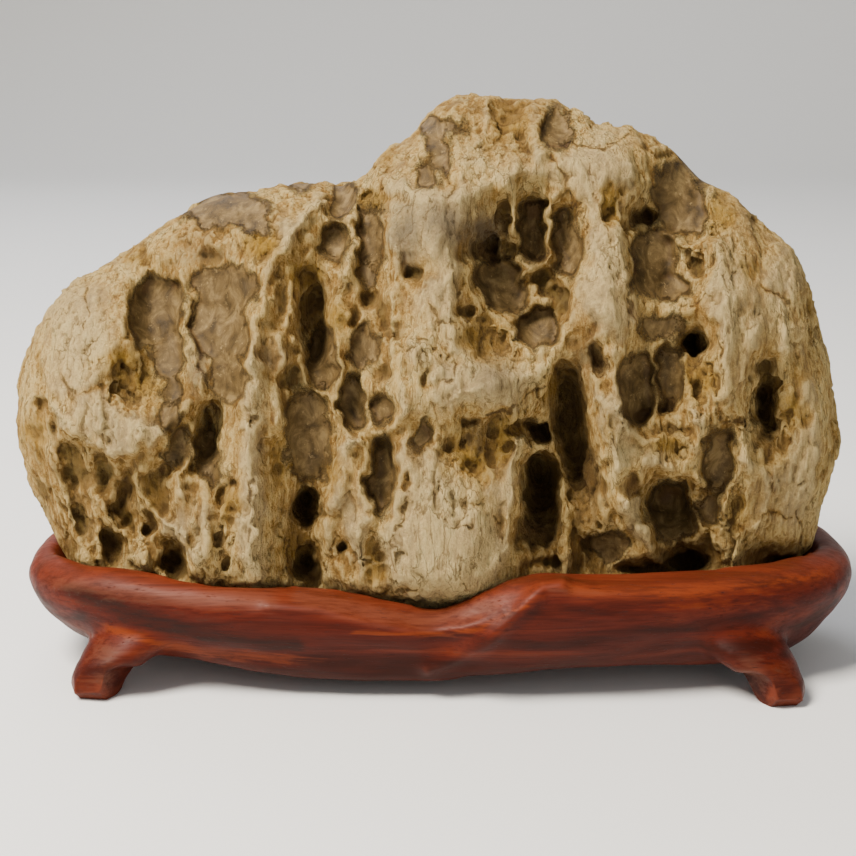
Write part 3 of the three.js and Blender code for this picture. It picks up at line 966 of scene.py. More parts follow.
@dataclass
class Rock:
    """The stone: one weathered block.

    Attributes:
        node: The CAD node it stands for.
        body: Mesh size of the smooth block under the carving, in millimetres.
        skin: Mesh size of the carved surface.
        budget: Most triangles of the finished surface.
        pits: How many hollows the sides, top and back have.
        sink: How far the front lies behind its proudest parts, in millimetres.
        rib_gain: Factor on the heights of the ribs.
        swell_gain: Factor on the heights of the swells.
        funnel: How far the worn slope round a hollow's mouth runs, in millimetres.
        funnel_share: That slope's depth at the mouth, as a share of the hollow's depth.
        lip_height: Most height of the lip round a hollow, in millimetres.
        rim: Height of the stand's rim at its lowest and at the ends, in millimetres.
        lowest: Where along X the rim is lowest.
        seed: Seed of everything scattered.
        worn: The hollows of the sides, top and back.
    """

    elevation: Elevation
    node: str = "rock"
    body: float = 2.1
    skin: float = 1.0
    budget: int = 196_000
    pits: int = 120
    sink: float = 6.5
    rib_gain: float = 1.25
    swell_gain: float = 1.35
    funnel: float = 3.6
    funnel_share: float = 0.42
    lip_height: float = 0.7
    rim: tuple[float, float] = (31.0, 42.0)
    lowest: float = 2.0
    seed: int = 11
    worn: list[WornPit] = field(default_factory=list)

    def build(self, cad: bpy.types.Object) -> bpy.types.Object:
        """Makes the stone from the CAD node's block.

        Args:
            cad: The CAD node.

        Returns:
            The finished piece, without its finish.
        """
        piece = merged_copy(cad, "rock_stone")
        remesh(piece, self.body)
        self.soften(piece.data, 5)
        self.worn = self.scatter_pits(piece.data)
        bake_modifier(piece, "SUBSURF", levels=1, render_levels=1)
        self.carve(piece.data)
        remesh(piece, self.skin)
        self.soften(piece.data, 1)
        self.roughen(piece.data)
        thin_out(piece, self.budget, self.back_weight(piece.data))
        self.keep_inside(piece.data)
        self.mark(piece.data)
        return piece

    def soften(self, mesh: bpy.types.Mesh, rounds: int) -> None:
        """Rounds off the surface a little."""
        put_points(mesh, Relaxer(mesh).relax(points_of(mesh), rounds))

    def front_share(self, points: np.ndarray) -> np.ndarray:
        """1 on the front of the stone, 0 on its back, and mixed over the top and the ends."""
        return 1.0 - smooth_step(-2.0, 12.0, points[:, 1])

    def back_weight(self, mesh: bpy.types.Mesh) -> np.ndarray:
        """How readily each vertex may go: the back keeps a coarser mesh."""
        points = points_of(mesh)
        hidden = smooth_step(40.0, 30.0, points[:, 2])
        return np.clip(0.45 + 0.4 * smooth_step(0.0, 16.0, points[:, 1]) + 0.4 * hidden, 0.0, 1.0)

    def scatter_pits(self, mesh: bpy.types.Mesh) -> list[WornPit]:
        """Places the hollows of the sides, top and back.

        Args:
            mesh: The smooth block.

        Returns:
            The pits, kept clear of the front and of each other.
        """
        dice = random.Random(self.seed)
        points, normals = points_of(mesh), normals_of(mesh)
        behind, clear_of_rim, spacing = 4.0, 44.0, 0.85
        open_air = (points[:, 1] > behind) & (points[:, 2] > clear_of_rim)
        places = np.nonzero(open_air)[0].tolist()
        found: list[WornPit] = []
        kinds = [C, C, C, G, D, O, N]
        for _ in range(self.pits * 12):
            if len(found) >= self.pits:
                break
            k = dice.choice(places)
            size = dice.choice((3.0, 4.0, 5.0, 6.5, 8.5))
            spot = Vector(points[k])
            if any((spot - Vector(p.middle)).length < spacing * (size + p.shape.half_v)
                   for p in found):
                continue
            kind = dice.choice(kinds)
            tall = size * dice.uniform(1.0, 2.2)
            depth = min(size * dice.uniform(0.45, 0.8), 6.5) * (1.4 if kind is D else 1.0)
            shape = Hollow(0, 0, size * dice.uniform(0.6, 0.9), tall, dice.uniform(-14, 14), depth,
                           kind, 0.26 if kind is C else 0.5, dice.uniform(2.1, 2.8), 0.3)
            found.append(WornPit(tuple(spot), tuple(Vector(normals[k]).normalized()), shape))
        return found

    def warp(self, points: np.ndarray) -> tuple[np.ndarray, np.ndarray]:
        """The drawing's coordinates, stirred so that no outline is a true ellipse."""
        u, v = self.elevation.draw(points)
        flat = np.stack([u, v, np.zeros_like(u)], axis=1)
        broad = waves(flat, (10, 13, 9), 3.1, 3) * 2.5 + waves(flat, (3.8, 5, 9), 9.9, 2) * 1.6
        other = waves(flat, (10, 13, 9), 47.7, 3) * 2.6 + waves(flat, (3.8, 5, 9), 80.2, 2) * 1.6
        return u + broad, v + other

    def lay(self, points: np.ndarray) -> Lay:
        """Works out every hollow, rib and stain at each point.

        Args:
            points: Places in millimetres.

        Returns:
            Depths and lips in millimetres, signed distance inside the chalcedony, and stains.
        """
        count = len(points)
        u, v = self.warp(points)
        front = self.front_share(points)
        depth, lip, window = np.zeros(count), np.zeros(count), np.full(count, OUTSIDE)
        ochre, olive, dark, soot, crack = (np.zeros(count) for _ in range(5))
        funnel = np.zeros(count)
        tints = {O: ochre, G: olive, D: dark}

        def press(near: np.ndarray, reach: np.ndarray, height: np.ndarray, shape: Hollow,
                  share: np.ndarray) -> None:
            """Lays one hollow into the fields."""
            cut = shape.cut(reach, height) * share
            depth[near] = np.maximum(depth[near], cut)
            beyond = (reach - 1.0) * min(shape.half_u, shape.half_v)
            fall = np.exp(-((np.maximum(beyond, 0.0) / self.funnel) ** 2))
            slope = self.funnel_share * shape.depth * fall * share
            funnel[near] = np.maximum(funnel[near], slope)
            height_of_lip = min(0.16 * shape.depth, self.lip_height)
            rim = height_of_lip * np.exp(-(((beyond - 1.0) / 1.1) ** 2)) * share
            lip[near] = np.maximum(lip[near], rim)
            if shape.lining is C:
                floor = -beyond - 0.1 * min(shape.half_u, shape.half_v)
                window[near] = np.maximum(window[near], np.where(share > 0.5, floor, OUTSIDE))
            elif shape.lining in tints:
                tint = tints[shape.lining]
                # Tints strengthen with depth; in the dark lining this is painted shade as well as
                # dirt.
                inside = min(1.0, 0.35 + shape.depth / 12) * (1.0 - smooth_step(0.2, 1.15, reach))
                tint[near] = np.maximum(tint[near], inside * share)

        for shape in FRONT_HOLLOWS:
            near = shape.near(u, v)
            near = near[front[near] > 0.01]
            reach, height = shape.local(u[near], v[near])
            press(near, reach, height, shape, front[near])
        bent = stirred(points, (9, 9, 12), (5.3, 21.9, 60.1), 1.4)
        for pit in self.worn:
            near, reach, height = pit.local(bent)
            press(near, reach, height, pit.shape, 1.0 - 0.85 * front[near])
        lip *= 1.0 - smooth_step(0.2, 1.2, depth)
        depth += funnel
        for fissure in FISSURES:
            cut = fissure.weight(u, v) * front
            depth += cut
            crack = np.maximum(crack, cut / fissure.strength)
        for rib in RIDGES:
            lip += self.rib_gain * rib.weight(u, v) * front
        for swell in SWELLS:
            lip += self.swell_gain * swell.weight(u, v) * front
        eaten = (1.0 - front) * smooth_step(-0.25, 0.45, waves(points, (34, 34, 44), 66.0, 2))
        for zone in EATEN:
            eaten = np.maximum(eaten, zone.weight(u, v) * front)
        for stain in SOOT:
            soot = np.maximum(soot, stain.weight(u, v) * front)
        for wash in OCHRE_WASH:
            ochre = np.maximum(ochre, wash.weight(u, v) * front)
        return Lay(depth, lip, window, ochre, olive, dark, soot, eaten, crack)

    def seat(self, points: np.ndarray) -> np.ndarray:
        """1 where the stone is free of its socket, 0 down in it."""
        return smooth_step(27.0, 34.0, points[:, 2])

    def headroom(self, points: np.ndarray) -> np.ndarray:
        """How far the stone may swell at each point before it would meet the stand's rim."""
        low, high = self.rim
        rim = low + (high - low) * smooth_step(5.0, 110.0, np.abs(points[:, 0] - self.lowest))
        most = 12.0
        return 0.2 + most * smooth_step(rim, rim + most, points[:, 2])

    def carve(self, mesh: bpy.types.Mesh) -> None:
        """Cuts the hollows and raises the ribs.

        On the front each vertex moves along its line of sight, so the drawing stays true. On the
        rest of the stone it moves along the normal.
        """
        points, normals = points_of(mesh), normals_of(mesh)
        laid = self.lay(points)
        front = self.front_share(points)[:, None]
        facing = np.clip(-(normals * self.elevation.rays(points)).sum(1), 0.35, 1.0)[:, None]
        into = self.elevation.rays(points) * front / facing - normals * (1.0 - front)
        into /= np.maximum(np.linalg.norm(into, axis=1, keepdims=True), 1e-6)
        behind = 1.0 - self.front_share(points)
        # Broad bulges 14 mm wide, and upright flutes between them. Both run deeper behind.
        broad = waves(points, (14, 14, 30), 9.4, 3) * (2.4 + 1.4 * behind)
        flutes = np.abs(waves(points, (7.5, 7.5, 34), 31.0, 2))
        groove = np.exp(-((flutes / 0.10) ** 2)) * smooth_step(-0.6, 0.6, broad)
        form = broad - (1.8 + 1.2 * behind) * groove
        crust = 1.0 - 0.75 * smooth_step(-0.5, 1.5, laid.window)
        sink = self.sink * self.front_share(points) * smooth_step(34.0, 56.0, points[:, 2])
        # Cells 5 mm wide and 8 mm tall where the crust is eaten.
        cells = cell_depth(points, (5.2, 5.2, 8.0)) * laid.eaten
        move = laid.depth - laid.lip - form * crust + sink + 2.2 * cells * crust
        move = np.maximum(move, -self.headroom(points))
        put_points(mesh, points + into * move[:, None])

    def roughen(self, mesh: bpy.types.Mesh) -> None:
        """Gives the crust its crumbly, cracked grain and leaves the chalcedony smooth."""
        points, normals = points_of(mesh), normals_of(mesh)
        laid = self.lay(points)
        crust = 1.0 - 0.8 * smooth_step(-0.6, 0.8, laid.window)
        # Upright lumps 4 mm wide and 11 mm tall.
        lumps = waves(points, (4.2, 4.2, 11), 12.6, 3) * 0.75
        # Thin upright plates, 5.5 mm wide and 18 mm tall, each at a height of its own.
        bent = stirred(points, (5, 5, 8), (2.2, 33.0, 64.0), 1.8)
        gap, level = plates(bent, (5.5, 5.5, 18.0), 5.0)
        patchy = smooth_step(-0.3, 0.35, waves(points, (22, 22, 30), 40.0, 1))
        chips = (level - 0.5) * patchy - 0.35 * smooth_step(0.12, 0.0, gap) * patchy
        # Long upright cracks in some places only, and crumbs under 2 mm.
        split = np.abs(waves(points, (7, 7, 32), 71.0, 3))
        broken = smooth_step(-0.1, 0.4, waves(points, (15, 15, 20), 88.0, 1))
        cracks = -0.7 * np.exp(-((split / 0.07) ** 2)) * broken
        crumb = waves(points, (1.9, 1.9, 3.0), 54.0, 2) * 0.3
        worst = np.maximum(np.maximum(laid.olive, laid.dark), laid.eaten)
        rough = 1.0 + 0.9 * worst + 0.4 * laid.ochre
        move = (lumps + chips + cracks + crumb) * crust * rough
        move = np.minimum(move, 0.3 + 0.7 * self.seat(points))
        put_points(mesh, points + normals * move[:, None])

    def keep_inside(self, mesh: bpy.types.Mesh) -> None:
        """Holds the surface inside the CAD node's box, and eases it in at the front."""
        low, high = (np.array(c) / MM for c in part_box(self.node))
        margin, soft = 0.05, 2.0
        points, wall = points_of(mesh), low[1] + margin + soft
        ahead = np.maximum(wall - points[:, 1], 0.0)
        points[:, 1] = np.maximum(points[:, 1], wall) - soft * (1.0 - np.exp(-ahead / soft))
        put_points(mesh, np.clip(points, low + margin, high - margin))

    def mark(self, mesh: bpy.types.Mesh) -> None:
        """Keeps on the mesh the fields that the finish reads."""
        laid = self.lay(points_of(mesh))
        for name in ("window", "ochre", "olive", "dark", "soot", "eaten", "crack"):
            store(mesh, name, getattr(laid, name))
        # hollow and edge say how far a vertex lies below or above its surroundings; the finish
        # paints shade into hollows and creases, and a highlight onto convex edges, from them.
        store(mesh, "hollow", sunk_by(mesh, 26))
        store(mesh, "edge", sunk_by(mesh, 3))
        store(mesh, "low", laid.depth - 0.5 * laid.lip)


@dataclass(frozen=True)
class StoneFinish:
    """Silicified stone, weathered in the ground and brushed clean.

    The crust is dry and matt, so it has no gloss. It has fibres a millimetre wide that run upright,
    crumbs under a millimetre, and upright cracks a few millimetres apart. The chalcedony in the
    hollows is waxy, so it keeps a dull sheen. Iron stains the worn places ochre and olive.
    """

    # crust_high_and_highlight on convex edges and bleached on proud ribs are partly painted
    # highlight; tan and olive in the hollows, dirt in the dark pits and seam in the creases are
    # partly painted shade.
    crust_low: str = "#A98445"
    crust: str = "#CFAD68"
    crust_high_and_highlight: str = "#E4C986"
    bleached_and_highlight: str = "#E0CD9C"
    tan: str = "#8A6A38"
    ochre: str = "#A27D2C"
    olive: str = "#6B582C"
    dirt_and_pit_shade: str = "#543B20"
    soot: str = "#6E6250"
    fibre: str = "#A98B5E"
    fleck: str = "#A58D60"
    rust: str = "#8A6A36"
    seam_and_crease_shade: str = "#4A331C"
    splinter: str = "#5A4124"
    chalcedony: tuple[str, str, str] = ("#3B2E18", "#584628", "#796541")

    def splinters(self, r: Recipe) -> bpy.types.NodeSocket:
        """Thin upright cracks that part the crust into long splinters: 1 in a crack."""
        place = r.add("TexCoord", out="Object")
        turned = r.add("Mapping", {"Vector": place, "Scale": (1000.0, 1000.0, 300.0)})
        stir = r.add("TexNoise", {"Vector": turned, "Scale": 0.3, "Detail": 5.0}, out=1)
        bend = r.add("VectorMath", {0: stir, "Scale": 9.0}, operation="SCALE")
        bent = r.add("VectorMath", {0: turned, 1: bend}, operation="ADD")
        gap = r.add("TexVoronoi", {"Vector": bent, "Scale": 0.17}, feature="DISTANCE_TO_EDGE")
        return r.step(gap, 0.055, 0.0)

    def material(self) -> bpy.types.Material:
        """Writes the stone's material.

        Returns:
            The material.
        """
        r = Recipe("stone")
        field_of = r.fields(
            "window", "ochre", "olive", "dark", "soot", "eaten", "hollow", "edge", "low", "crack")
        broad = r.grain((1, 1, 0.6), 0.06, 6, 0.68)
        fibres = r.grain((1, 1, 0.14), 0.75, 6, 0.65, 0.4)
        crumbs = r.grain((1, 1, 1), 1.5, 4, 0.7)
        fine = r.grain((1, 1, 0.5), 0.3, 6, 0.7)
        cracked = r.sum(self.splinters(r), r.step(broad, 0.46, 0.56), "MULTIPLY")
        tone = r.sum(r.sum(broad, 0.5, "MULTIPLY"), r.sum(fine, 0.5, "MULTIPLY"))
        tone = r.sum(tone, r.sum(r.sum(crumbs, 0.5, "SUBTRACT"), 0.2, "MULTIPLY"))
        tone = r.sum(tone, r.sum(field_of["eaten"], 0.045, "MULTIPLY"), "SUBTRACT")

        # The crust: dry cream stone, stained ochre, olive and grey; paler on proud ribs and convex
        # edges, partly a painted highlight, and tan and olive down in the hollows, partly stain and
        # partly painted shade.
        crust = r.add("ValToRGB", {0: tone}, stops=(
            (0.39, self.tan), (0.45, self.crust_low), (0.51, self.crust), (0.6, self.crust_high_and_highlight)))
        crust = r.mix(r.step(fibres, 0.54, 0.32, 0.75), crust, self.fibre, "MULTIPLY")
        # Painted highlight: the pale crust colour laid on convex edges.
        crust = r.mix(r.step(field_of["edge"], -0.03, -0.3, 0.45), crust, self.crust_high_and_highlight)
        # Paler on proud ribs: bleached patches, partly a painted highlight on the ribs.
        proud = r.sum(field_of["low"], r.sum(broad, 6.0, "MULTIPLY"))
        crust = r.mix(r.step(proud, 3.0, 0.2, 0.4), crust, self.bleached_and_highlight)
        broken = r.sum(r.sum(fine, crumbs), 0.7, "MULTIPLY")
        ochre = r.step(r.sum(field_of["ochre"], broken), 0.85, 1.5, 0.85)
        crust = r.mix(ochre, crust, self.ochre)
        # Tan, then olive, laid deeper in the hollows: partly stain, partly painted shade.
        sunk = r.sum(r.sum(field_of["low"], 0.35, "MULTIPLY"), field_of["hollow"])
        hollow = r.sum(sunk, r.sum(fine, 1.6, "MULTIPLY"))
        away = r.step(field_of["window"], -0.4, -4.0)
        shade = r.sum(r.sum(away, 0.6, "MULTIPLY"), 0.4)
        hollow = r.sum(hollow, shade, "MULTIPLY")
        crust = r.mix(r.step(hollow, 0.6, 2.8, 0.75), crust, self.tan)
        crust = r.mix(r.step(hollow, 2.2, 4.8, 0.6), crust, self.olive)
        olive = r.step(r.sum(field_of["olive"], broken), 0.9, 1.5, 0.6)
        crust = r.mix(olive, crust, self.olive)
        grime = r.sum(r.sum(fibres, fine), 1.1, "MULTIPLY")
        grey = r.step(r.sum(field_of["soot"], grime), 1.0, 2.3, 0.85)
        crust = r.mix(grey, crust, self.soot)

        # The chalcedony: waxy grey-brown, mottled 6 mm wide, with pale flecks of 2 mm.
        mottle = r.grain((1, 1, 0.8), 0.16, 6, 0.65, 0.6)
        glassy = r.add("ValToRGB", {0: mottle}, stops=(
            (0.36, self.chalcedony[0]), (0.5, self.chalcedony[1]), (0.66, self.chalcedony[2])))
        flecks = r.grain((1, 1, 1), 0.5, 5, 0.7)
        glassy = r.mix(r.step(flecks, 0.59, 0.7, 0.45), glassy, self.fleck)
        fray = r.sum(r.sum(fine, crumbs), 1.0, "SUBTRACT")
        ragged = r.sum(field_of["window"], r.sum(fray, 5.0, "MULTIPLY"))
        window = r.step(ragged, -0.8, 1.2)
        colour = r.mix(window, crust, glassy)
        rust = r.sum(r.step(ragged, 2.8, 0.2, 0.4), r.step(fine, 0.4, 0.62), "MULTIPLY")
        rust = r.sum(rust, window, "MULTIPLY")
        colour = r.mix(rust, colour, self.rust)

        # Dirt and painted shade in the dark pits, dark cracks, and painted shade in the small
        # creases.
        pit = r.step(r.sum(field_of["dark"], broken), 0.95, 1.7, 0.7)
        colour = r.mix(pit, colour, self.dirt_and_pit_shade)
        split = r.step(r.sum(field_of["crack"], r.sum(crumbs, 0.9, "MULTIPLY")), 0.95, 1.4, 0.75)
        colour = r.mix(split, colour, self.seam_and_crease_shade)
        bite = r.sum(1.0, r.sum(window, 0.93, "MULTIPLY"), "SUBTRACT")
        cracked = r.sum(cracked, bite, "MULTIPLY")
        colour = r.mix(r.sum(cracked, 0.6, "MULTIPLY"), colour, self.splinter)
        # Painted shade: the small creases darkened with the seam colour.
        crease_shade = r.step(r.sum(field_of["edge"], r.sum(crumbs, 0.12, "MULTIPLY")), 0.16, 0.38, 0.4)
        colour = r.mix(crease_shade, colour, self.seam_and_crease_shade)

        # Relief finer than the mesh: crumbs, fibres and a grit of a third of a millimetre.
        grit = r.grain((1, 1, 0.8), 3.2, 2, 0.6)
        height = r.sum(r.sum(crumbs, 0.7, "MULTIPLY"), r.sum(fibres, 0.9, "MULTIPLY"))
        height = r.sum(height, r.sum(r.sum(fine, 1.9, "MULTIPLY"), r.sum(grit, 0.25, "MULTIPLY")))
        height = r.sum(height, r.sum(cracked, 0.25, "MULTIPLY"), "SUBTRACT")
        height = r.sum(height, bite, "MULTIPLY")
        bump = r.add("Bump", {"Height": height, "Strength": 1.0, "Distance": 0.0021})
        gloss = r.add("MapRange", {0: window, 1: 0.0, 2: 1.0, 3: 0.9, 4: 0.6})
        gloss = r.sum(gloss, r.sum(r.sum(mottle, 0.5, "SUBTRACT"), 0.3, "MULTIPLY"))
        shader = r.add("BsdfPrincipled", {
            "Base Color": colour, "Roughness": gloss, "Normal": bump, "IOR": 1.54,
            "Specular IOR Level": 0.14})
        r.add("OutputMaterial", {"Surface": shader})
        return r.material


# ---- The stand ----------------------------------------------------------------------------------


# Streaks in the rosewood's front: black heartwood, amber bands, and mauve-grey on the rim and feet;
# the amber along the right rim and the mauve are partly painted highlight.
STREAKS: dict[str, tuple[Stroke, ...]] = {
    "heart": (
        Stroke(((-134, 21), (-114, 12), (-94, 5), (-74, 1), (-50, -1)), 4.2),
        Stroke(((60, -4), (90, -1), (120, 2)), 2.0, 0.5),
        Stroke(((-60, -13), (-20, -15), (20, -13), (60, -9)), 3.0, 0.7),
    ),
    "amber": (
        Stroke(((-120, 6), (-104, 0), (-86, -4), (-60, -7), (-38, -8)), 2.6),
        Stroke(((-27, 4), (-8, 3.5), (8, 4), (22, 7), (37, 15)), 1.5),
        Stroke(((-60, 14), (-86, 18), (-116, 24)), 2.4, 0.4),
        # Along the right rim's top: amber laid where the shoulder catches the light, partly a
        # painted highlight.
        Stroke(((56, 22), (90, 21), (122, 23), (146, 28)), 3.4, 0.85),
        Stroke(((70, 14), (100, 15), (130, 16)), 2.6, 0.4),
        Stroke(((120, 2), (112, -8)), 3.0, 0.4),
    ),
    # Mauve-grey on the dish, the left rim and the feet: partly the wood's tone, partly a painted
    # highlight.
    "mauve": (
        Stroke(((-48, 18), (-26, 13), (-4, 9), (12, 10), (24, 14)), 4.0),
        Stroke(((-152, 26), (-140, 24), (-118, 20), (-86, 16), (-60, 17)), 5.0, 0.95),
        Stroke(((-122, -6), (-124, -14)), 6.0, 0.8),
        Stroke(((122, -6), (124, -16)), 6.0, 0.8),
        Stroke(((46, 21), (60, 21), (76, 20)), 2.0, 0.5),
    ),
}


@dataclass(frozen=True)
class Facet:
    """A flat left by the chisel on a foot.

    Attributes:
        normal: Its direction: outward along X, outward along Y, and up.
        reach: Its distance from the middle of the foot, in millimetres.
    """

    normal: tuple[float, float, float]
    reach: float


FACETS: tuple[Facet, ...] = (
    Facet((0.25, 1.0, 0.3), 7.0),
    Facet((0.1, 0.8, -0.65), 7.6),
    Facet((-0.85, 0.55, -0.1), 7.4),
    Facet((0.9, 0.3, 0.1), 7.8),
    Facet((0.75, 0.2, -0.6), 8.2),
)


@dataclass
class Stand:
    """The stand: one carved block of rosewood with four feet and a fold in its rim.

    Attributes:
        soles: The middles of the feet, in millimetres.
        node: The CAD node it stands for.
        blank: Mesh size of the softened block, in millimetres.
        budget: Most triangles of the finished surface.
        fold: The fold and the crest of the rim, on the drawing.
        hollows: Where the front is scooped out.
    """

    elevation: Elevation
    soles: tuple[tuple[float, float], ...]
    node: str = "stand"
    blank: float = 1.7
    budget: int = 170_000
    fold: tuple[Stroke, ...] = (
        Stroke(((50, 22), (44, 21), (38, 15), (31, 8), (23, 1), (12, -6), (0, -10)), 3.4, 2.2),
        Stroke(((-60, 14), (-40, 12), (-22, 6), (-4, 3), (14, 5), (28, 12)), 3.0, 0.9),
    )
    hollows: tuple[Patch, ...] = (
        Patch(6, 12, 30, 5, -1.6), Patch(8, -2, 16, 6, -1.8, 40), Patch(-70, -6, 60, 4, -0.8),
    )

    def build(self, cad: bpy.types.Object) -> bpy.types.Object:
        """Makes the stand from the CAD node's block.

        Args:
            cad: The CAD node.

        Returns:
            The finished piece, without its finish.
        """
        piece = merged_copy(cad, "stand_carved")
        remesh(piece, self.blank)
        self.ease(piece.data)
        bake_modifier(piece, "SUBSURF", levels=1, render_levels=1)
        self.carve(piece.data)
        thin_out(piece, self.budget)
        self.keep_inside(piece.data)
        self.mark(piece.data)
        return piece

    def ease(self, mesh: bpy.types.Mesh) -> None:
        """Rounds every arris as a carver does, and keeps the soles flat on the table."""
        points = points_of(mesh)
        foot = 0.3 + 0.7 * smooth_step(12.0, 26.0, points[:, 2])
        strength = 0.5 * (0.25 + 0.75 * smooth_step(0.6, 5.0, points[:, 2])) * foot
        eased = Relaxer(mesh).relax(points, 12, strength)
        sole = points[:, 2] < 0.6
        eased[sole, 2] = 0.0
        put_points(mesh, eased)

    def carve(self, mesh: bpy.types.Mesh) -> None:
        """Cuts the fold and leaves the faint facets of hand carving."""
        points, normals = points_of(mesh), normals_of(mesh)
        u, v = self.elevation.draw(points)
        front = smooth_step(-30.0, -44.0, points[:, 1])
        facets = waves(points, (26, 14, 9), 4.2, 2) * 0.4
        worked = sum(shape.weight(u, v) for shape in self.fold + self.hollows) * front
        free = smooth_step(0.2, 3.0, points[:, 2])
        put_points(mesh, self.chisel(points + normals * ((facets + worked) * free)[:, None]))

    def chisel(self, points: np.ndarray) -> np.ndarray:
        """Flattens each foot where the chisel took a slice.

        Args:
            points: The surface, in millimetres.

        Returns:
            The surface with its facets.
        """
        for x, y in self.soles:
            away = np.hypot(points[:, 0] - x, points[:, 1] - y)
            share = smooth_step(15.0, 9.0, points[:, 2]) * smooth_step(17.0, 13.5, away)
            for facet in FACETS:
                normal = np.array(facet.normal) * (math.copysign(1, x), math.copysign(1, y), 1)
                normal /= np.linalg.norm(normal)
                past = (points - np.array((x, y, 6.0))) @ normal - facet.reach
                points = points - normal * (np.maximum(past, 0.0) * share)[:, None]
        return points

    def keep_inside(self, mesh: bpy.types.Mesh) -> None:
        """Holds the surface inside the CAD node's box."""
        low, high = (np.array(c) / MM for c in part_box(self.node))
        put_points(mesh, np.clip(points_of(mesh), low, high))

    def mark(self, mesh: bpy.types.Mesh) -> None:
        """Keeps on the mesh the dark heartwood, the amber bands, the mauve streaks, the convex
        edges, the rim's top that gets a painted highlight and the low parts that get painted shade.
        """
        points, normals = points_of(mesh), normals_of(mesh)
        u, v = self.elevation.draw(points)
        stir = [waves(points, (30, 12, 7), seed, 3) * 2.4 for seed in (6.1, 15.8)]
        front = smooth_step(-20.0, -40.0, points[:, 1])
        for name, streaks in STREAKS.items():
            weights = [streak.weight(u + stir[0], v + stir[1]) for streak in streaks]
            store(mesh, name, np.maximum.reduce(weights) * front)
        level = smooth_step(0.2, 0.85, normals[:, 2])
        store(mesh, "edge", sunk_by(mesh, 12))
        # crest feeds a painted highlight on the rim's top, and under feeds painted shade low down.
        store(mesh, "crest", level * smooth_step(22.0, 32.0, points[:, 2]))
        store(mesh, "under", smooth_step(26.0, 8.0, points[:, 2]))


@dataclass(frozen=True)
class RosewoodFinish:
    """Rosewood, carved by hand and oiled.

    The oil leaves a satin sheen. The grain runs along the stand, with black heartwood and amber
    bands in it. Its pores show as short dark dashes; real ones are too fine to show, so they are
    drawn half a millimetre wide.
    """

    dark: str = "#2C0A02"
    mid: str = "#491508"
    light: str = "#64230D"
    heart: str = "#1E0D07"
    amber: str = "#74300D"
    mauve: str = "#5A3728"
    # worn is a painted highlight for the rim's top; rubbed lights convex edges, partly wear and
    # partly painted highlight.
    worn: str = "#7A3820"
    rubbed_and_highlight: str = "#94482F"
    pore: str = "#2A0F0B"

    def material(self) -> bpy.types.Material:
        """Writes the wood's material.

        Returns:
            The material.
        """
        r = Recipe("rosewood")
        field_of = r.fields("heart", "amber", "mauve", "edge", "crest", "under")
        figure = r.grain((0.07, 0.6, 1), 0.16, 5, 0.55, 0.5)
        lines = r.grain((0.035, 0.7, 1), 0.9, 5, 0.65, 0.2)
        pores = r.grain((0.09, 1, 1), 2.0, 3, 0.6)
        wood = r.add("ValToRGB", {0: figure}, stops=(
            (0.34, self.dark), (0.5, self.mid), (0.66, self.light)))
        wood = r.mix(r.step(lines, 0.52, 0.34, 0.5), wood, self.dark)
        # Painted shade: darker towards the bottom of the stand.
        wood = r.mix(r.sum(field_of["under"], 0.5, "MULTIPLY"), wood, self.dark)
        streaky = r.sum(r.sum(lines, figure), 2.2, "MULTIPLY")
        # Some amber and mauve streaks stand for painted highlight on the rim and feet.
        bands = (
            ("amber", self.amber, 2.5, 3.5, 0.7),
            ("heart", self.heart, 2.45, 3.3, 0.85),
            ("mauve", self.mauve, 2.4, 3.5, 0.6),
        )
        for name, colour, low, high, most in bands:
            share = r.step(r.sum(field_of[name], streaky), low, high, most)
            wood = r.mix(share, wood, colour)
        # Convex edges lighter: rubbed wear, partly a painted highlight.
        wood = r.mix(r.step(field_of["edge"], -0.15, -0.9, 0.3), wood, self.rubbed_and_highlight)
        # Painted highlight: the worn colour laid on the upward-facing top of the rim.
        worn = r.sum(field_of["crest"], r.sum(lines, 0.6, "MULTIPLY"), "MULTIPLY")
        wood = r.mix(worn, wood, self.worn)
        pore = r.step(pores, 0.64, 0.72)
        wood = r.mix(r.sum(pore, 0.7, "MULTIPLY"), wood, self.pore)
        height = r.sum(r.sum(lines, 0.35, "MULTIPLY"), r.sum(pore, -0.8, "MULTIPLY"))
        bump = r.add("Bump", {"Height": height, "Strength": 0.5, "Distance": 0.0004})
        gloss = r.add("MapRange", {0: lines, 1: 0.3, 2: 0.7, 3: 0.54, 4: 0.4})
        shader = r.add("BsdfPrincipled", {
            "Base Color": wood, "Roughness": gloss, "Normal": bump, "IOR": 1.5,
            "Specular IOR Level": 0.13})
        r.add("OutputMaterial", {"Surface": shader})
        return r.material


# ---- The studio ---------------------------------------------------------------------------------


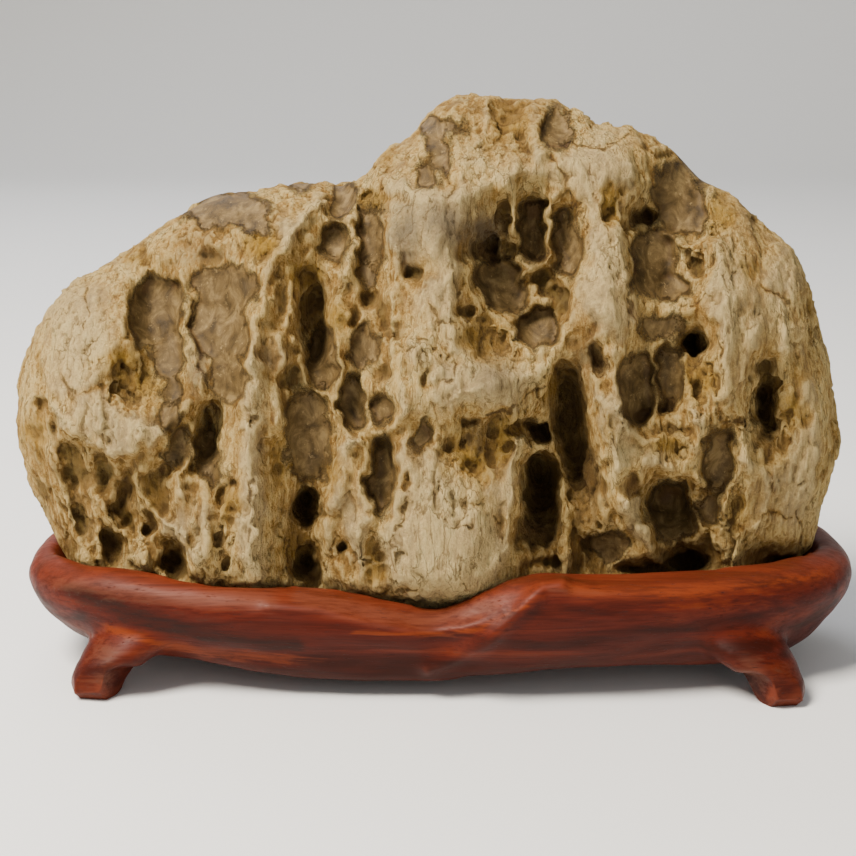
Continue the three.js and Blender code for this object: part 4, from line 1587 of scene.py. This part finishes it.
@dataclass(frozen=True)
class Studio:
    """A pale sweep, soft lamps and the camera.

    Attributes:
        elevation: Where the eye stands.
        paper: Colour of the sweep.
        back: Distance from the object to the upright part of the sweep, in metres.
    """

    elevation: Elevation
    paper: str = "#EDEDEB"
    back: float = 1.6

    def camera(self) -> None:
        """Stands the camera at the eye point."""
        data = bpy.data.cameras.new("camera")
        data.lens = self.elevation.lens
        data.sensor_width = 36.0
        data.clip_start = 0.01
        stand = bpy.data.objects.new("camera", data)
        stand.location = Vector(self.elevation.eye) * MM
        stand.rotation_euler = (math.radians(90.0 - self.elevation.tilt), 0.0, 0.0)
        bpy.context.scene.collection.objects.link(stand)
        bpy.context.scene.camera = stand

    def sweep(self) -> None:
        """Lays the pale floor and runs it up behind the object."""
        reach, half_width, chord, steps = 3.0, 4.0, 0.08, 12
        bend = [math.radians((k + 0.5) * 90.0 / steps) for k in range(steps)]
        runs = [(0.0, reach + self.back, 0.0)]
        runs += [(0.0, chord * math.cos(a), chord * math.sin(a)) for a in bend]
        runs += [(0.0, 0.0, reach)]
        mesh = bpy.data.meshes.new("sweep")
        shape = bmesh.new()
        ends = [shape.verts.new((x, -reach, 0.0)) for x in (-half_width, half_width)]
        edge = [shape.edges.new(ends)]
        for run in runs:
            grown = bmesh.ops.extrude_edge_only(shape, edges=edge)["geom"]
            edge = [g for g in grown if isinstance(g, bmesh.types.BMEdge)]
            bmesh.ops.translate(shape, verts=edge[0].verts[:], vec=run)
        bmesh.ops.recalc_face_normals(shape, faces=shape.faces)
        shape.to_mesh(mesh)
        shape.free()
        for face in mesh.polygons:
            face.use_smooth = True
        floor = bpy.data.objects.new("sweep", mesh)
        bpy.context.scene.collection.objects.link(floor)
        r = Recipe("paper")
        tooth = r.grain((1, 1, 1), 0.6, 3)
        bump = r.add("Bump", {"Height": tooth, "Strength": 0.05, "Distance": 0.0002})
        shader = r.add("BsdfPrincipled", {
            "Base Color": linear(self.paper), "Roughness": 0.85, "Normal": bump})
        r.add("OutputMaterial", {"Surface": shader})
        mesh.materials.append(r.material)

    def lamp(self, name: str, place: tuple[float, float, float], size: float, power: float,
             colour: str) -> None:
        """Hangs a soft square lamp that looks at the stone.

        Args:
            name: The lamp's name.
            place: Where it hangs, in metres.
            size: Its side, in metres.
            power: Watts.
            colour: Its colour.
        """
        data = bpy.data.lights.new(name, "AREA")
        data.size = size
        data.energy = power
        data.color = linear(colour)[:3]
        lamp = bpy.data.objects.new(name, data)
        lamp.location = place
        aim = Vector((0.0, 0.0, 0.09)) - Vector(place)
        lamp.rotation_euler = aim.to_track_quat("-Z", "Y").to_euler()
        bpy.context.scene.collection.objects.link(lamp)

    def light(self) -> None:
        """Lights the set: a broad lamp overhead, a fill from the front and a grey room."""
        self.lamp("overhead", (-0.6, -0.45, 1.15), 0.5, 45.0, "#FFF6EA")
        self.lamp("front_fill", (0.5, -1.8, 0.7), 1.2, 4.0, "#FFF8F0")
        self.lamp("back_rim", (-0.5, 1.1, 1.2), 1.0, 12.0, "#F2F5FF")
        world = bpy.data.worlds.new("room")
        world.use_nodes = True
        sky = world.node_tree.nodes["Background"]
        sky.inputs["Color"].default_value = linear("#E6E8EA")
        sky.inputs["Strength"].default_value = 0.47
        bpy.context.scene.world = world


# ---- Assembly -----------------------------------------------------------------------------------


def report(piece: bpy.types.Object) -> None:
    """Logs a piece's name and size."""
    faces = sum(len(p.vertices) - 2 for p in piece.data.polygons)
    sides = [round(1000 * side, 1) for side in piece.dimensions]
    LOG.info("%s: %d triangles, %s mm", piece.name, faces, sides)


def dress(piece: bpy.types.Object, finish: bpy.types.Material, node: str) -> None:
    """Gives a piece its finish, hides the CAD node it stands for, and hangs it on the root body.

    Args:
        piece: The piece.
        finish: Its material.
        node: The CAD node.
    """
    piece.data.materials.append(finish)
    for face in piece.data.polygons:
        face.use_smooth = True
    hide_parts(node)
    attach(piece, "root")
    report(piece)


def main() -> None:
    """Builds the studio, the stone and the stand."""
    logging.basicConfig(level=logging.INFO, format="%(message)s")
    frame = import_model()
    elevation = Elevation()
    studio = Studio(elevation)
    studio.camera()
    studio.sweep()
    studio.light()
    rock = Rock(elevation).build(frame["nodes"]["rock"])
    dress(rock, StoneFinish().material(), "rock")
    soles = tuple((m["pos_m"][0] / MM, m["pos_m"][1] / MM) for m in frame["record"]["mounts"])
    stand = Stand(elevation, soles).build(frame["nodes"]["stand"])
    dress(stand, RosewoodFinish().material(), "stand")


if __name__ == "__main__":
    main()
